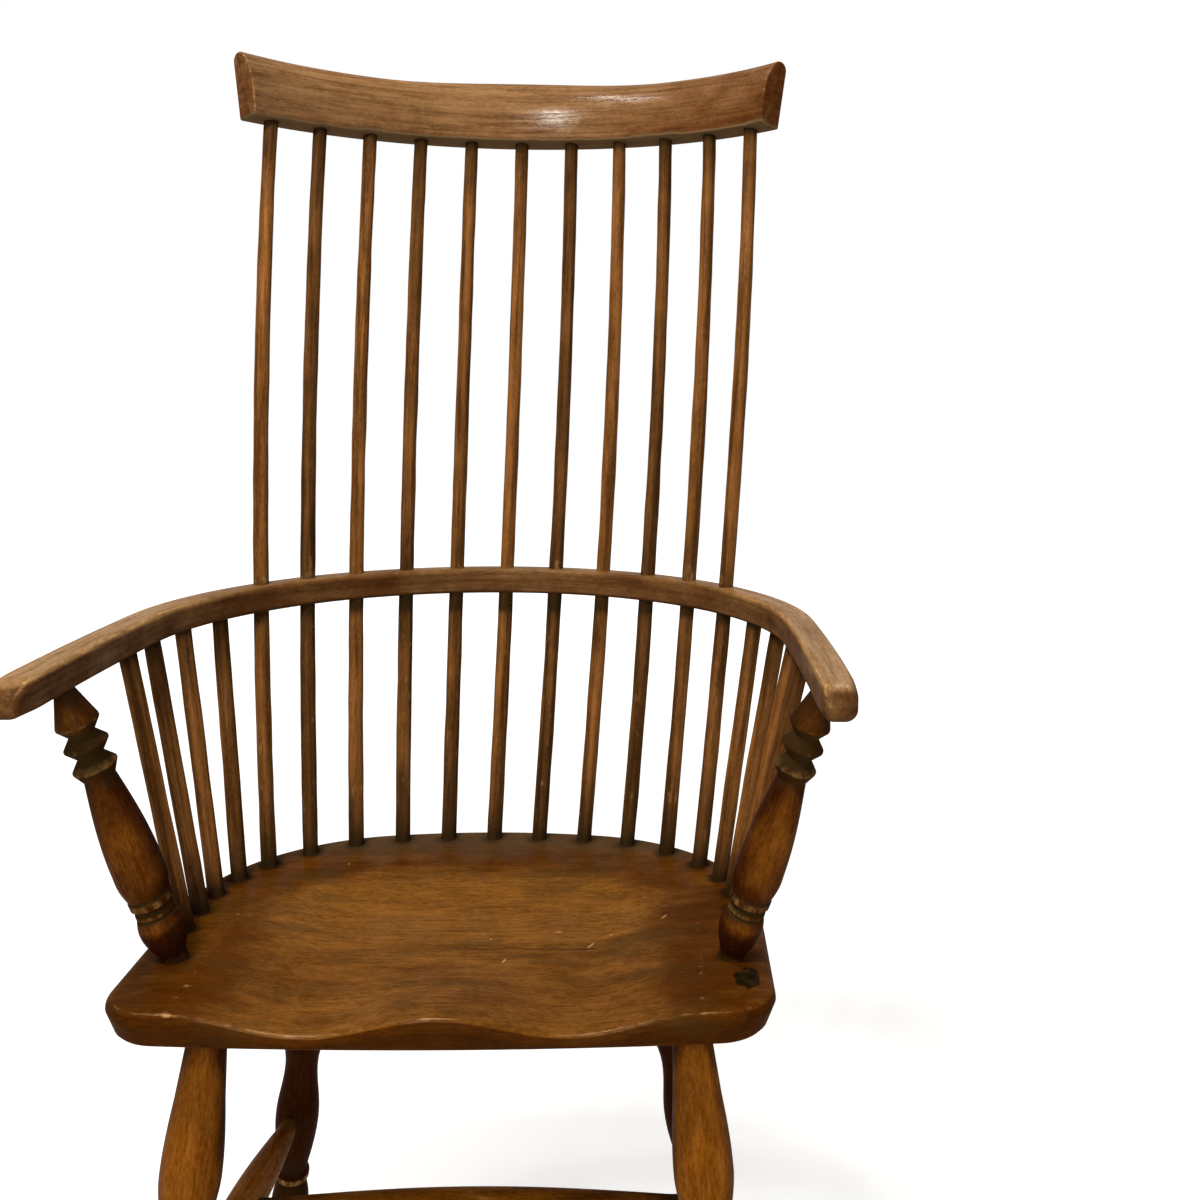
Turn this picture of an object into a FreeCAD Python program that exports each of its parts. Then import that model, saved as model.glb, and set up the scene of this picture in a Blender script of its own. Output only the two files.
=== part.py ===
import FreeCAD, Part
import math
import os
from types import SimpleNamespace

import Sketcher

# Comb-back Windsor armchair, in millimetres.
# The chair faces -Y and stands on Z = 0. Left and right are as seen from the front, so right is +X.
# A thick plank seat carries everything: legs and stretchers below, spindles, arm posts, bow and comb above.

V = FreeCAD.Vector

# Every driving size of the chair. Diameters and lengths are in millimetres, angles in degrees.
SIZES = {
    # Heights above the floor: the seat's flat deck, the top of the arms, the middle of the comb's underside
    "seat_height": 432,
    "arm_height": 676,
    "comb_height": 1123,
    # Gap left all round between a stick and its socket
    "fit_gap": 0.2,
    # Seat plank: its outline seen from above, then its edge
    "seat_width": 490,
    "seat_depth": 384.5,
    "seat_front": 294.1,
    "seat_thickness": 42,
    "seat_back_radius": 547,
    "seat_shoulder_radius": 174,
    "seat_corner_radius": 44.5,
    "seat_front_radius": 2650,
    "seat_bevel_height": 16.5,
    "seat_bevel_width": 34,
    "seat_undercut": 6.5,
    "seat_rounding": 6,
    # Saddle: the hollow that is cut into the top of the plank
    "saddle_width": 376,
    "saddle_back_width": 272,
    "saddle_depth": 13,
    "saddle_back_depth": 7,
    "saddle_back_slope": 38,
    "saddle_front_depth": 12,
    "saddle_back_margin": 78,
    "thigh_spacing": 180,
    "pommel_length": 130,
    "pommel_depth": 10,
    "pommel_rise": 1,
    # Spindles
    "long_spindle_diameter": 14,
    "short_spindle_diameter": 14,
    "spindle_inset": 23.5,
    "seat_socket_depth": 24,
    "bow_socket_depth": 15,
    "comb_socket_depth": 26,
    "long_pitch_at_seat": 43,
    "short_pitch_at_seat": 36,
    "long_pitch_at_bow": 50.3,
    "short_pitch_at_bow": 48.5,
    "long_pitch_at_comb": 54.8,
    # Arm bow: a half ring at the back that runs on into two straight arms
    "bow_radius": 272.5,
    "bow_centre_forward": 105.6,
    "bow_thickness": 25,
    "bow_depth": 24,
    "bow_rounding": 3,
    "arm_length": 235,
    "arm_flare": 1,
    "arm_nose_radius": 11,
    # Comb: a board bent to part of a circle and leaning back, swept up at its ends, with a crowned middle
    "comb_bend_radius": 340,
    "comb_setback": 305.3,
    "comb_lean": 16,
    "comb_length": 604,
    "comb_face": 69,
    "comb_crown": 5,
    "comb_end_rise": 5.5,
    "comb_thickness": 25,
    "comb_front_rounding": 15,
    "comb_back_rounding": 8,
    # Arm posts: where they stand, then their turnings from the seat up to the arm
    "post_foot_spacing": 424,
    "post_foot_forward": 192.6,
    "post_arm_setback": 94,
    "post_arm_inset": 1.5,
    "post_socket_depth": 22,
    "post_tenon_depth": 15,
    "post_end_diameter": 17,
    "post_ankle_diameter": 20,
    "post_ankle_height": 6,
    "post_bulb_diameter": 34,
    "post_bulb_height": 30,
    "post_groove_diameter": 27.2,
    "post_groove_height": 45,
    "post_collar_diameter": 32,
    "post_collar_height": 51,
    "post_collar_width": 6,
    "post_belly_diameter": 37.3,
    "post_belly_height": 84,
    "post_neck_diameter": 22.8,
    "post_neck_drop": 73.5,
    "post_ring_diameter": 31.5,
    "post_ring_pitch": 18,
    "post_ring_drop": 64,
    "post_ring_land": 1.6,
    "post_cove_diameter": 18.5,
    "post_cone_drop": 28,
    "post_cone_length": 25,
    "post_tenon_diameter": 14,
    # Legs: where they enter the seat, how they spread, then their turnings from the seat down
    "front_leg_spacing": 363,
    "front_leg_forward": 209.6,
    "front_leg_splay": 5.5,
    "front_leg_rake": 6,
    "rear_leg_spacing": 308,
    "rear_leg_forward": -1.9,
    "rear_leg_splay": 8,
    "rear_leg_rake": 14,
    "leg_socket_depth": 22,
    "leg_taper_length": 34,
    "leg_end_diameter": 22,
    "leg_neck_diameter": 29.5,
    "leg_shoulder_diameter": 37,
    "leg_shoulder_drop": 55,
    "leg_belly_diameter": 45.5,
    "leg_belly_drop": 112,
    "leg_waist_diameter": 30,
    "leg_swell_diameter": 40,
    "leg_ankle_diameter": 26,
    "leg_ankle_height": 108,
    "leg_collar_diameter": 32,
    "leg_collar_width": 5,
    "leg_bulb_diameter": 35,
    "leg_bulb_height": 72,
    "leg_foot_diameter": 25,
    # Stretchers: two between the front and rear legs, and one across
    "stretcher_height": 168,
    "side_stretcher_diameter": 31,
    "side_tenon_diameter": 16,
    "side_tenon_depth": 14,
    "cross_stretcher_diameter": 29,
    "cross_tenon_diameter": 15,
    "cross_tenon_depth": 10,
    "stretcher_tenon_length": 20,
}

# Spindles on each side of the middle one, and under each arm
LONG_EACH_SIDE = 5
SHORT_EACH_SIDE = 4

# Cross-sections of the comb on each side of its middle one
COMB_SECTIONS_EACH_SIDE = 4

SIDES = (("left", -1), ("right", 1))

doc = FreeCAD.newDocument("windsor_chair")
sheet = doc.addObject("Spreadsheet::Sheet", "sizes")
for row, (name, value) in enumerate(SIZES.items(), start=1):
    sheet.set(f"A{row}", name)
    sheet.set(f"B{row}", str(value))
    sheet.setAlias(f"B{row}", name)
doc.recompute()
size = SimpleNamespace(**{name: float(sheet.get(name)) for name in SIZES})

pieces = []


def keep(piece, label):
    """Names a finished piece of the chair and puts it on the list that is written out."""
    piece.Label = label
    pieces.append(piece)
    return piece


def sketch_in(body, name, role, offset=V(0, 0, 0)):
    """A sketch on one of the body's own origin planes, moved off it by a vector in the plane's own frame."""
    plane = next(f for f in body.Origin.OriginFeatures if f.Role == role)
    sketch = body.newObject("Sketcher::SketchObject", name)
    sketch.AttachmentSupport = [(plane, "")]
    sketch.MapMode = "FlatFace"
    sketch.AttachmentOffset = FreeCAD.Placement(offset, FreeCAD.Rotation())
    return sketch


def draw_loop(sketch, curves):
    """Draws curves that follow each other round a closed loop and joins their ends."""
    first = sketch.addGeometry(curves[0], False)
    for curve in curves[1:]:
        sketch.addGeometry(curve, False)
    for i in range(len(curves)):
        here = first + i
        after = first + (i + 1) % len(curves)
        gaps = {(a, b): sketch.getPoint(here, a).distanceToPoint(sketch.getPoint(after, b))
                for a in (1, 2) for b in (1, 2)}
        end, start = min(gaps, key=gaps.get)
        sketch.addConstraint(Sketcher.Constraint("Coincident", here, end, after, start))


def tie(sketch, constraint, text):
    """Adds a constraint and ties its value to the sheet."""
    index = sketch.addConstraint(constraint)
    sketch.setExpression(f"Constraints[{index}]", text)


def turned(name, runs):
    """A lathe-turned stick along +Z. Each run is a list of (diameter's name, distance along the stick):
    two points make a straight run and more make a smooth one. Each run starts where the last one ended."""
    body = doc.addObject("PartDesign::Body", name)
    sketch = sketch_in(body, name + "_profile", "XZ_Plane")
    curves = []
    for run in runs:
        points = [V(getattr(size, diameter) / 2, distance, 0) for diameter, distance in run]
        if len(points) == 2:
            curves.append(Part.LineSegment(*points))
        else:
            spline = Part.BSplineCurve()
            spline.interpolate(points)
            curves.append(spline)
    low = V(0, runs[0][0][1], 0)
    high = V(0, runs[-1][-1][1], 0)
    start = V(getattr(size, runs[0][0][0]) / 2, low.y, 0)
    end = V(getattr(size, runs[-1][-1][0]) / 2, high.y, 0)
    curves += [Part.LineSegment(end, high), Part.LineSegment(high, low), Part.LineSegment(low, start)]
    draw_loop(sketch, curves)
    for i, run in enumerate(runs):
        diameter = run[0][0]
        radius = getattr(size, diameter) / 2
        tie(sketch, Sketcher.Constraint("DistanceX", -1, 1, i, 1, radius), f"sizes.{diameter} / 2")
    turning = body.newObject("PartDesign::Revolution", name + "_turning")
    turning.Profile = sketch
    turning.ReferenceAxis = (sketch, ["V_Axis"])
    turning.Angle = 360
    return body


# Turns a bore's seam away from the middle plane of the piece it goes into, which has a seam of its own there
SEAM_TURN = FreeCAD.Placement(V(0, 0, 0), FreeCAD.Rotation(V(0, 0, 1), 45))


def drill(name, place, diameter, length):
    """A cylinder that bores a socket: it starts a gap below the placement and is as much wider all round."""
    bore = doc.addObject("Part::Cylinder", name)
    bore.setExpression("Radius", f"sizes.{diameter} / 2 + sizes.fit_gap")
    bore.Height = length + size.fit_gap
    bore.Placement = place.multiply(FreeCAD.Placement(V(0, 0, -size.fit_gap), FreeCAD.Rotation()))
    return bore


def ream(name, place, small, large, length):
    """A cone that reams a tapered socket for a stick that grows from one diameter to the other."""
    bore = doc.addObject("Part::Cone", name)
    bore.setExpression("Radius1", f"sizes.{small} / 2 + sizes.fit_gap")
    bore.setExpression("Radius2", f"sizes.{large} / 2 + sizes.fit_gap")
    bore.Height = length
    bore.Placement = place.multiply(FreeCAD.Placement(V(0, 0, -size.fit_gap), FreeCAD.Rotation()))
    return bore


def cut(base, tools, label):
    """The base with every tool taken out of it, as a finished piece."""
    together = doc.addObject("Part::Compound", label + "_tools")
    together.Links = tools
    result = doc.addObject("Part::Cut", label)
    result.Base = base
    result.Tool = together
    return keep(result, label)


def along(start, direction):
    """A placement at a point with its +Z along a direction."""
    return FreeCAD.Placement(start, FreeCAD.Rotation(V(0, 0, 1), direction))


# Rows in which the spindles stand, each as a point at a distance from the chair's middle line.
# A negative distance is on the left.

seat_half = size.seat_width / 2
seat_back = size.seat_depth - size.seat_front
seat_underside = size.seat_height - size.seat_thickness
back_centre = seat_back - size.seat_back_radius
shoulder_x = seat_half - size.seat_shoulder_radius
shoulder_reach = size.seat_back_radius - size.seat_shoulder_radius
shoulder_angle = math.asin(shoulder_x / shoulder_reach)
shoulder_y = back_centre + shoulder_reach * math.cos(shoulder_angle)
bow_centre = -size.bow_centre_forward
bow_underside = size.arm_height - size.bow_depth
bow_middle = size.arm_height - size.bow_depth / 2
flare = math.radians(size.arm_flare)
comb_centre = size.comb_setback - size.comb_bend_radius


def on_circle(x, y, radius, angle):
    """A point of a circle, at an angle turned from +Y towards +X."""
    return V(x + radius * math.sin(angle), y + radius * math.cos(angle), 0)


def seat_row(distance):
    """The spindle row on the seat follows the plank's edge at a steady inset."""
    side = math.copysign(1, distance)
    left = abs(distance)
    back_radius = size.seat_back_radius - size.spindle_inset
    shoulder_radius = size.seat_shoulder_radius - size.spindle_inset
    back_length = back_radius * shoulder_angle
    shoulder_length = shoulder_radius * (math.pi / 2 - shoulder_angle)
    if left < back_length:
        point = on_circle(0, back_centre, back_radius, left / back_radius)
    elif left < back_length + shoulder_length:
        angle = shoulder_angle + (left - back_length) / shoulder_radius
        point = on_circle(shoulder_x, shoulder_y, shoulder_radius, angle)
    else:
        point = V(seat_half - size.spindle_inset, shoulder_y - (left - back_length - shoulder_length), 0)
    return V(side * point.x, point.y, size.seat_height)


def bow_row(distance, height):
    """The spindle row in the bow is the bow's own middle line."""
    side = math.copysign(1, distance)
    left = abs(distance)
    turn = math.pi / 2 - flare
    if left < size.bow_radius * turn:
        point = on_circle(0, bow_centre, size.bow_radius, left / size.bow_radius)
    else:
        run = left - size.bow_radius * turn
        bend_end = on_circle(0, bow_centre, size.bow_radius, turn)
        point = bend_end + V(math.sin(flare), -math.cos(flare), 0) * run
    return V(side * point.x, point.y, height)


def comb_row(distance):
    """The spindle row along the middle of the comb's underside, which sweeps up towards both ends."""
    point = on_circle(0, comb_centre, size.comb_bend_radius, distance / size.comb_bend_radius)
    sweep = (2 * distance / size.comb_length) ** 2
    return V(point.x, point.y, size.comb_height + size.comb_end_rise * sweep)


seat_tools = []
bow_tools = []
comb_tools = []


# Long spindles: shaved sticks that stand in the seat, pass through the bow and end in the comb.
# Each is bent a little, along the one circle through its three seats.

def bent_stick(name, low, middle, high):
    """A long spindle as an arc through three points, lengthened into its sockets at both ends.
    Returns the body and its placements at the lower end, at the bow and at the upper end."""
    circle = Part.Arc(low, middle, high).toShape().Curve
    spoke = low - circle.Center
    axis = spoke.cross(middle - circle.Center).normalize()
    to_bow = spoke.getAngle(middle - circle.Center)
    to_comb = to_bow + (middle - circle.Center).getAngle(high - circle.Center)
    lower_end = -size.seat_socket_depth / circle.Radius
    upper_end = to_comb + size.comb_socket_depth / circle.Radius

    def place(turn):
        outward = FreeCAD.Rotation(axis, math.degrees(turn)).multVec(spoke)
        inward = outward * (-1 / circle.Radius)
        upward = axis.cross(outward).normalize()
        rotation = FreeCAD.Rotation(inward, upward.cross(inward), upward, "ZXY")
        return FreeCAD.Placement(circle.Center + outward, rotation)

    def bend_point(turn):
        return V(circle.Radius * (1 - math.cos(turn)), circle.Radius * math.sin(turn), 0)

    body = doc.addObject("PartDesign::Body", name)
    path = sketch_in(body, name + "_bend", "XZ_Plane")
    whole = upper_end - lower_end
    path.addGeometry(Part.Arc(bend_point(0), bend_point(whole / 2), bend_point(whole)), False)
    section = sketch_in(body, name + "_section", "XY_Plane")
    section.addGeometry(Part.Circle(V(0, 0, 0), V(0, 0, 1), size.long_spindle_diameter / 2), False)
    tie(section, Sketcher.Constraint("Radius", 0, size.long_spindle_diameter / 2),
        "sizes.long_spindle_diameter / 2")
    stick = body.newObject("PartDesign::AdditivePipe", name + "_stick")
    stick.Profile = section
    stick.Spine = (path, ["Edge1"])
    body.Placement = place(lower_end)
    return body, place(lower_end), place(to_bow), place(upper_end)


upside_down = FreeCAD.Placement(V(0, 0, 0), FreeCAD.Rotation(V(1, 0, 0), 180))
bow_depth_down = FreeCAD.Placement(V(0, 0, -size.bow_depth), FreeCAD.Rotation())

for number, step in enumerate(range(-LONG_EACH_SIDE, LONG_EACH_SIDE + 1), start=1):
    label = f"long_spindle_{number:02d}"
    low = seat_row(step * size.long_pitch_at_seat)
    middle = bow_row(step * size.long_pitch_at_bow, bow_middle)
    high = comb_row(step * size.long_pitch_at_comb)
    body, lower_end, at_bow, upper_end = bent_stick(label, low, middle, high)
    keep(body, label)
    seat_tools.append(drill(label + "_seat_bore", lower_end, "long_spindle_diameter",
                            2 * size.seat_socket_depth))
    bow_tools.append(drill(label + "_bow_bore", at_bow.multiply(bow_depth_down), "long_spindle_diameter",
                           2 * size.bow_depth))
    comb_tools.append(drill(label + "_comb_bore", upper_end.multiply(upside_down).multiply(SEAM_TURN),
                            "long_spindle_diameter", 2 * size.comb_socket_depth))


# Short spindles: straight sticks between the seat and the underside of each arm.

for side, sign in SIDES:
    for step in range(1, SHORT_EACH_SIDE + 1):
        label = f"short_spindle_{side}_{step}"
        at_seat = LONG_EACH_SIDE * size.long_pitch_at_seat + step * size.short_pitch_at_seat
        at_bow = LONG_EACH_SIDE * size.long_pitch_at_bow + step * size.short_pitch_at_bow
        low = seat_row(sign * at_seat)
        high = bow_row(sign * at_bow, bow_underside)
        rise = (high - low).normalize()
        start = low - rise * size.seat_socket_depth
        length = low.distanceToPoint(high) + size.seat_socket_depth + size.bow_socket_depth
        stick = doc.addObject("Part::Cylinder", label)
        stick.setExpression("Radius", "sizes.short_spindle_diameter / 2")
        stick.Height = length
        stick.Placement = along(start, rise)
        keep(stick, label)
        seat_tools.append(drill(label + "_seat_bore", along(start, rise), "short_spindle_diameter",
                                2 * size.seat_socket_depth))
        bow_tools.append(drill(label + "_bow_bore", along(start + rise * length, -rise),
                               "short_spindle_diameter", 2 * size.bow_socket_depth))


# Arm posts: stout turned posts that lean out and forward from the seat to carry the arms.

arm_end = bow_row(size.bow_radius * (math.pi / 2 - flare) + size.arm_length, bow_underside)
arm_way = V(math.sin(flare), -math.cos(flare), 0)
post_head = arm_end - arm_way * size.post_arm_setback - V(size.post_arm_inset, 0, 0)
post_foot = V(size.post_foot_spacing / 2, -size.post_foot_forward, size.seat_height)
post_rise = post_foot.distanceToPoint(post_head)

# Distances up the post from its end in the seat
from_seat = size.post_socket_depth
arm_line = from_seat + post_rise
collar_low = from_seat + size.post_collar_height
ring_low = arm_line - size.post_ring_drop
ring_high = ring_low + size.post_ring_pitch
cone_edge = arm_line - size.post_cone_drop
cone_top = cone_edge + size.post_cone_length
half_land = size.post_ring_land / 2
cove_low = (ring_low + ring_high) / 2
cove_high = (ring_high + cone_edge) / 2
post_top = arm_line + size.post_tenon_depth

post_runs = [
    [("post_end_diameter", 0), ("post_ankle_diameter", from_seat + size.post_ankle_height)],
    [("post_ankle_diameter", from_seat + size.post_ankle_height),
     ("post_bulb_diameter", from_seat + size.post_bulb_height),
     ("post_groove_diameter", from_seat + size.post_groove_height)],
    [("post_groove_diameter", from_seat + size.post_groove_height), ("post_collar_diameter", collar_low)],
    [("post_collar_diameter", collar_low), ("post_collar_diameter", collar_low + size.post_collar_width)],
    [("post_collar_diameter", collar_low + size.post_collar_width),
     ("post_belly_diameter", from_seat + size.post_belly_height),
     ("post_neck_diameter", arm_line - size.post_neck_drop)],
    [("post_neck_diameter", arm_line - size.post_neck_drop), ("post_ring_diameter", ring_low - half_land)],
    [("post_ring_diameter", ring_low - half_land), ("post_ring_diameter", ring_low + half_land)],
    [("post_ring_diameter", ring_low + half_land), ("post_cove_diameter", cove_low)],
    [("post_cove_diameter", cove_low), ("post_ring_diameter", ring_high - half_land)],
    [("post_ring_diameter", ring_high - half_land), ("post_ring_diameter", ring_high + half_land)],
    [("post_ring_diameter", ring_high + half_land), ("post_cove_diameter", cove_high)],
    [("post_cove_diameter", cove_high), ("post_ring_diameter", cone_edge - half_land)],
    [("post_ring_diameter", cone_edge - half_land), ("post_ring_diameter", cone_edge + half_land)],
    [("post_ring_diameter", cone_edge + half_land), ("post_tenon_diameter", cone_top)],
    [("post_tenon_diameter", cone_top), ("post_tenon_diameter", post_top)],
]

for side, sign in SIDES:
    label = f"arm_post_{side}"
    foot = V(sign * post_foot.x, post_foot.y, post_foot.z)
    head = V(sign * post_head.x, post_head.y, post_head.z)
    rise = (head - foot).normalize()
    place = along(foot - rise * size.post_socket_depth, rise)
    post = turned(label, post_runs)
    post.Placement = place
    keep(post, label)
    seat_tools.append(ream(label + "_seat_bore", place, "post_end_diameter", "post_ankle_diameter",
                           size.post_socket_depth + size.post_ankle_height))
    bow_tools.append(drill(label + "_bow_bore", along(head + rise * size.post_tenon_depth, -rise),
                           "post_tenon_diameter", 2 * size.post_tenon_depth))


# Legs: turned sticks with a tapered top driven into a reamed socket, splayed sideways and raked lengthways.

def leg_axis(sign, spacing, forward, splay, rake):
    """Where a leg's axis meets the underside of the seat, and its direction down to the floor."""
    start = V(sign * spacing / 2, -forward, seat_underside)
    way = V(sign * math.tan(math.radians(splay)), math.tan(math.radians(rake)), -1)
    return start, way


def leg_at(axis, height):
    """The point of a leg's axis at a height above the floor."""
    start, way = axis
    return start + way * (start.z - height)


legs = {}
for side, sign in SIDES:
    legs["front", side] = leg_axis(sign, size.front_leg_spacing, size.front_leg_forward,
                                   size.front_leg_splay, -size.front_leg_rake)
    legs["rear", side] = leg_axis(sign, size.rear_leg_spacing, size.rear_leg_forward,
                                  size.rear_leg_splay, size.rear_leg_rake)


# Stretchers: swelled turned rails. The side ones join the legs and the cross one joins the side ones.

def rail(label, first, last, swell, tenon, depth, host):
    """A turned rail between two axes. Its tenons stop short of them, as deep in each host as asked."""
    way = (last - first).normalize()
    back_off = host / 2 - depth
    length = first.distanceToPoint(last) - 2 * back_off
    hold = size.stretcher_tenon_length
    body = turned(label, [
        [(tenon, 0), (tenon, hold)],
        [(tenon, hold), (swell, length / 2), (tenon, length - hold)],
        [(tenon, length - hold), (tenon, length)],
    ])
    body.Placement = along(first + way * back_off, way)
    bores = [drill(label + "_first_bore", along(first + way * back_off, way), tenon, hold),
             drill(label + "_last_bore", along(last - way * back_off, -way), tenon, hold)]
    return body, bores


leg_bores = {}
side_middles = []
side_rails = []
for side, sign in SIDES:
    front = leg_at(legs["front", side], size.stretcher_height)
    rear = leg_at(legs["rear", side], size.stretcher_height)
    body, bores = rail(f"side_rail_{side}", front, rear, "side_stretcher_diameter", "side_tenon_diameter",
                       size.side_tenon_depth, size.leg_swell_diameter)
    leg_bores["front", side], leg_bores["rear", side] = bores
    side_middles.append((front + rear) * 0.5)
    side_rails.append((f"side_stretcher_{side}", body))

cross, cross_bores = rail("cross_stretcher", *side_middles, "cross_stretcher_diameter",
                          "cross_tenon_diameter", size.cross_tenon_depth, size.side_stretcher_diameter)
keep(cross, "cross_stretcher")
for (label, body), bore in zip(side_rails, cross_bores):
    bore.Placement = bore.Placement.multiply(SEAM_TURN)
    cut(body, [bore], label)

# The floor trims the slanted feet level
floor = doc.addObject("Part::Box", "floor")
floor.setExpression("Length", "sizes.seat_width * 2")
floor.setExpression("Width", "sizes.seat_width * 2")
floor.setExpression("Height", "sizes.leg_foot_diameter")
floor.Placement.Base = V(-size.seat_width, -size.seat_width, -size.leg_foot_diameter)

for (end, side), axis in legs.items():
    label = f"leg_{end}_{side}"
    start, way = axis
    stretch = way.Length
    down = way * (1 / stretch)
    seat_line = size.leg_socket_depth
    floor_line = seat_line + seat_underside * stretch
    swell_line = seat_line + (seat_underside - size.stretcher_height) * stretch
    shoulder_line = seat_line + size.leg_shoulder_drop
    belly_line = seat_line + size.leg_belly_drop
    collar_line = floor_line - size.leg_ankle_height
    collar_end = collar_line + size.leg_collar_width
    leg = turned(label + "_turned", [
        [("leg_end_diameter", 0), ("leg_neck_diameter", size.leg_taper_length)],
        [("leg_neck_diameter", size.leg_taper_length), ("leg_shoulder_diameter", shoulder_line),
         ("leg_belly_diameter", belly_line), ("leg_waist_diameter", (belly_line + swell_line) / 2),
         ("leg_swell_diameter", swell_line),
         ("leg_ankle_diameter", collar_line - size.leg_collar_width)],
        [("leg_ankle_diameter", collar_line - size.leg_collar_width), ("leg_collar_diameter", collar_line)],
        [("leg_collar_diameter", collar_line), ("leg_collar_diameter", collar_end)],
        [("leg_collar_diameter", collar_end), ("leg_ankle_diameter", collar_end + size.leg_collar_width)],
        [("leg_ankle_diameter", collar_end + size.leg_collar_width),
         ("leg_bulb_diameter", floor_line - size.leg_bulb_height),
         ("leg_foot_diameter", floor_line + size.leg_foot_diameter / 2)],
    ])
    place = along(start - down * size.leg_socket_depth, down)
    leg.Placement = place
    cut(leg, [floor, leg_bores[end, side]], label)
    seat_tools.append(ream(label + "_seat_bore", place, "leg_end_diameter", "leg_neck_diameter",
                           size.leg_taper_length))


# Seat: one thick plank, bevelled underneath so that its edge looks thin, with a saddle scooped out on top.

def seat_outline(inset):
    """The plank's outline drawn in by an inset: shallow back, round shoulders, straight sides, round corners
    and shallow front."""
    radius = size.seat_corner_radius
    side_x = seat_half - inset
    corner_x = seat_half - radius
    front_centre = -size.seat_front + size.seat_front_radius
    corner_reach = size.seat_front_radius - radius
    corner_y = front_centre - math.sqrt(corner_reach ** 2 - corner_x ** 2)
    corner_angle = math.pi - math.asin(corner_x / corner_reach)

    def arc(x, y, r, start, end):
        return Part.Arc(*[on_circle(x, y, r - inset, start + (end - start) * t) for t in (0, 0.5, 1)])

    back_to = shoulder_angle
    quarter = math.pi / 2
    return [
        arc(0, back_centre, size.seat_back_radius, -back_to, back_to),
        arc(shoulder_x, shoulder_y, size.seat_shoulder_radius, back_to, quarter),
        Part.LineSegment(V(side_x, shoulder_y, 0), V(side_x, corner_y, 0)),
        arc(corner_x, corner_y, radius, quarter, corner_angle),
        arc(0, front_centre, size.seat_front_radius, corner_angle, 2 * math.pi - corner_angle),
        arc(-corner_x, corner_y, radius, 2 * math.pi - corner_angle, 2 * math.pi - quarter),
        Part.LineSegment(V(-side_x, corner_y, 0), V(-side_x, shoulder_y, 0)),
        arc(-shoulder_x, shoulder_y, size.seat_shoulder_radius, -quarter, -back_to),
    ]


def edges_at(shape, height):
    """The names of the edges that lie level at a height."""
    return [f"Edge{i}" for i, edge in enumerate(shape.Edges, start=1)
            if abs(edge.BoundBox.ZMin - height) < 0.01 and abs(edge.BoundBox.ZMax - height) < 0.01]


# The outline is drawn where the bevel starts. The edge flares out above it and the bevel runs in below it.
plank = doc.addObject("PartDesign::Body", "plank")
outline = sketch_in(plank, "plank_outline", "XY_Plane", V(0, 0, seat_underside + size.seat_bevel_height))
draw_loop(outline, seat_outline(size.seat_undercut))
for curve, radius in ((0, "seat_back_radius"), (1, "seat_shoulder_radius"), (3, "seat_corner_radius"),
                      (4, "seat_front_radius"), (5, "seat_corner_radius"), (7, "seat_shoulder_radius")):
    tie(outline, Sketcher.Constraint("Radius", curve, getattr(size, radius) - size.seat_undercut),
        f"sizes.{radius} - sizes.seat_undercut")
board = plank.newObject("PartDesign::Pad", "plank_board")
board.Profile = outline
board_height = "(sizes.seat_thickness - sizes.seat_bevel_height)"
board.setExpression("Length", board_height)
board.setExpression("TaperAngle", f"atan(sizes.seat_undercut / {board_height})")
bevel = plank.newObject("PartDesign::Pad", "plank_bevel")
bevel.Profile = outline
bevel.Reversed = True
bevel.setExpression("Length", "sizes.seat_bevel_height")
bevel.setExpression("TaperAngle", "-atan(sizes.seat_bevel_width / sizes.seat_bevel_height)")
doc.recompute()

eased = plank.newObject("PartDesign::Fillet", "plank_eased_edge")
eased.Base = (bevel, edges_at(bevel.Shape, size.seat_height))
eased.setExpression("Radius", "sizes.seat_rounding")
doc.recompute()


# The saddle is lofted through cross-sections of the air above it, from behind the hollow to the front edge.
# The pommel is the ridge that is left between the thighs at the front.

saddle_back = seat_back - size.saddle_back_margin
pommel_back = -size.seat_front + size.pommel_length
saddle_middle = (saddle_back + pommel_back) / 2
clear = size.saddle_depth
sections = []


def saddle_section(y, rim, rim_depth, thigh_depth, middle_depth):
    """One cross-section across the seat. Each depth is measured down from the flat deck, and the rim is where
    the hollow comes out through the deck."""
    sketch = sketch_in(plank, f"saddle_section_{len(sections) + 1}", "XZ_Plane", V(0, 0, -y))
    deck = size.seat_height
    wide = seat_half + clear
    top = deck + 2 * clear
    thigh = size.thigh_spacing / 2
    right = [V(thigh, deck - thigh_depth, 0), V(rim, deck - rim_depth, 0), V(wide, deck + clear, 0)]
    left = [V(-point.x, point.y, 0) for point in reversed(right)]
    hollow = Part.BSplineCurve()
    hollow.interpolate(left + [V(0, deck - middle_depth, 0)] + right)
    draw_loop(sketch, [
        hollow,
        Part.LineSegment(right[-1], V(wide, top, 0)),
        Part.LineSegment(V(wide, top, 0), V(-wide, top, 0)),
        Part.LineSegment(V(-wide, top, 0), left[0]),
    ])
    sections.append(sketch)


half_width = size.saddle_width / 2
back_half_width = size.saddle_back_width / 2
saddle_section(saddle_back + size.saddle_back_slope, back_half_width, -clear, -clear, -clear)
saddle_section(saddle_back - size.saddle_back_slope, back_half_width, 0, size.saddle_back_depth,
               size.saddle_back_depth)
saddle_section(saddle_middle, half_width, 0, size.saddle_depth, size.saddle_depth)
saddle_section(pommel_back, half_width, 0, size.saddle_depth, size.pommel_depth)
saddle_section(-size.seat_front - clear, half_width, 0, size.saddle_front_depth, -size.pommel_rise)
doc.recompute()

whole_volume = plank.Shape.Volume
saddle = plank.newObject("PartDesign::SubtractiveLoft", "saddle")
saddle.Profile = sections[0]
saddle.Sections = sections[1:]
doc.recompute()
if plank.Shape.Volume >= whole_volume:
    raise RuntimeError("the saddle cuts nothing out of the seat")
cut(plank, seat_tools, "seat")


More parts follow.
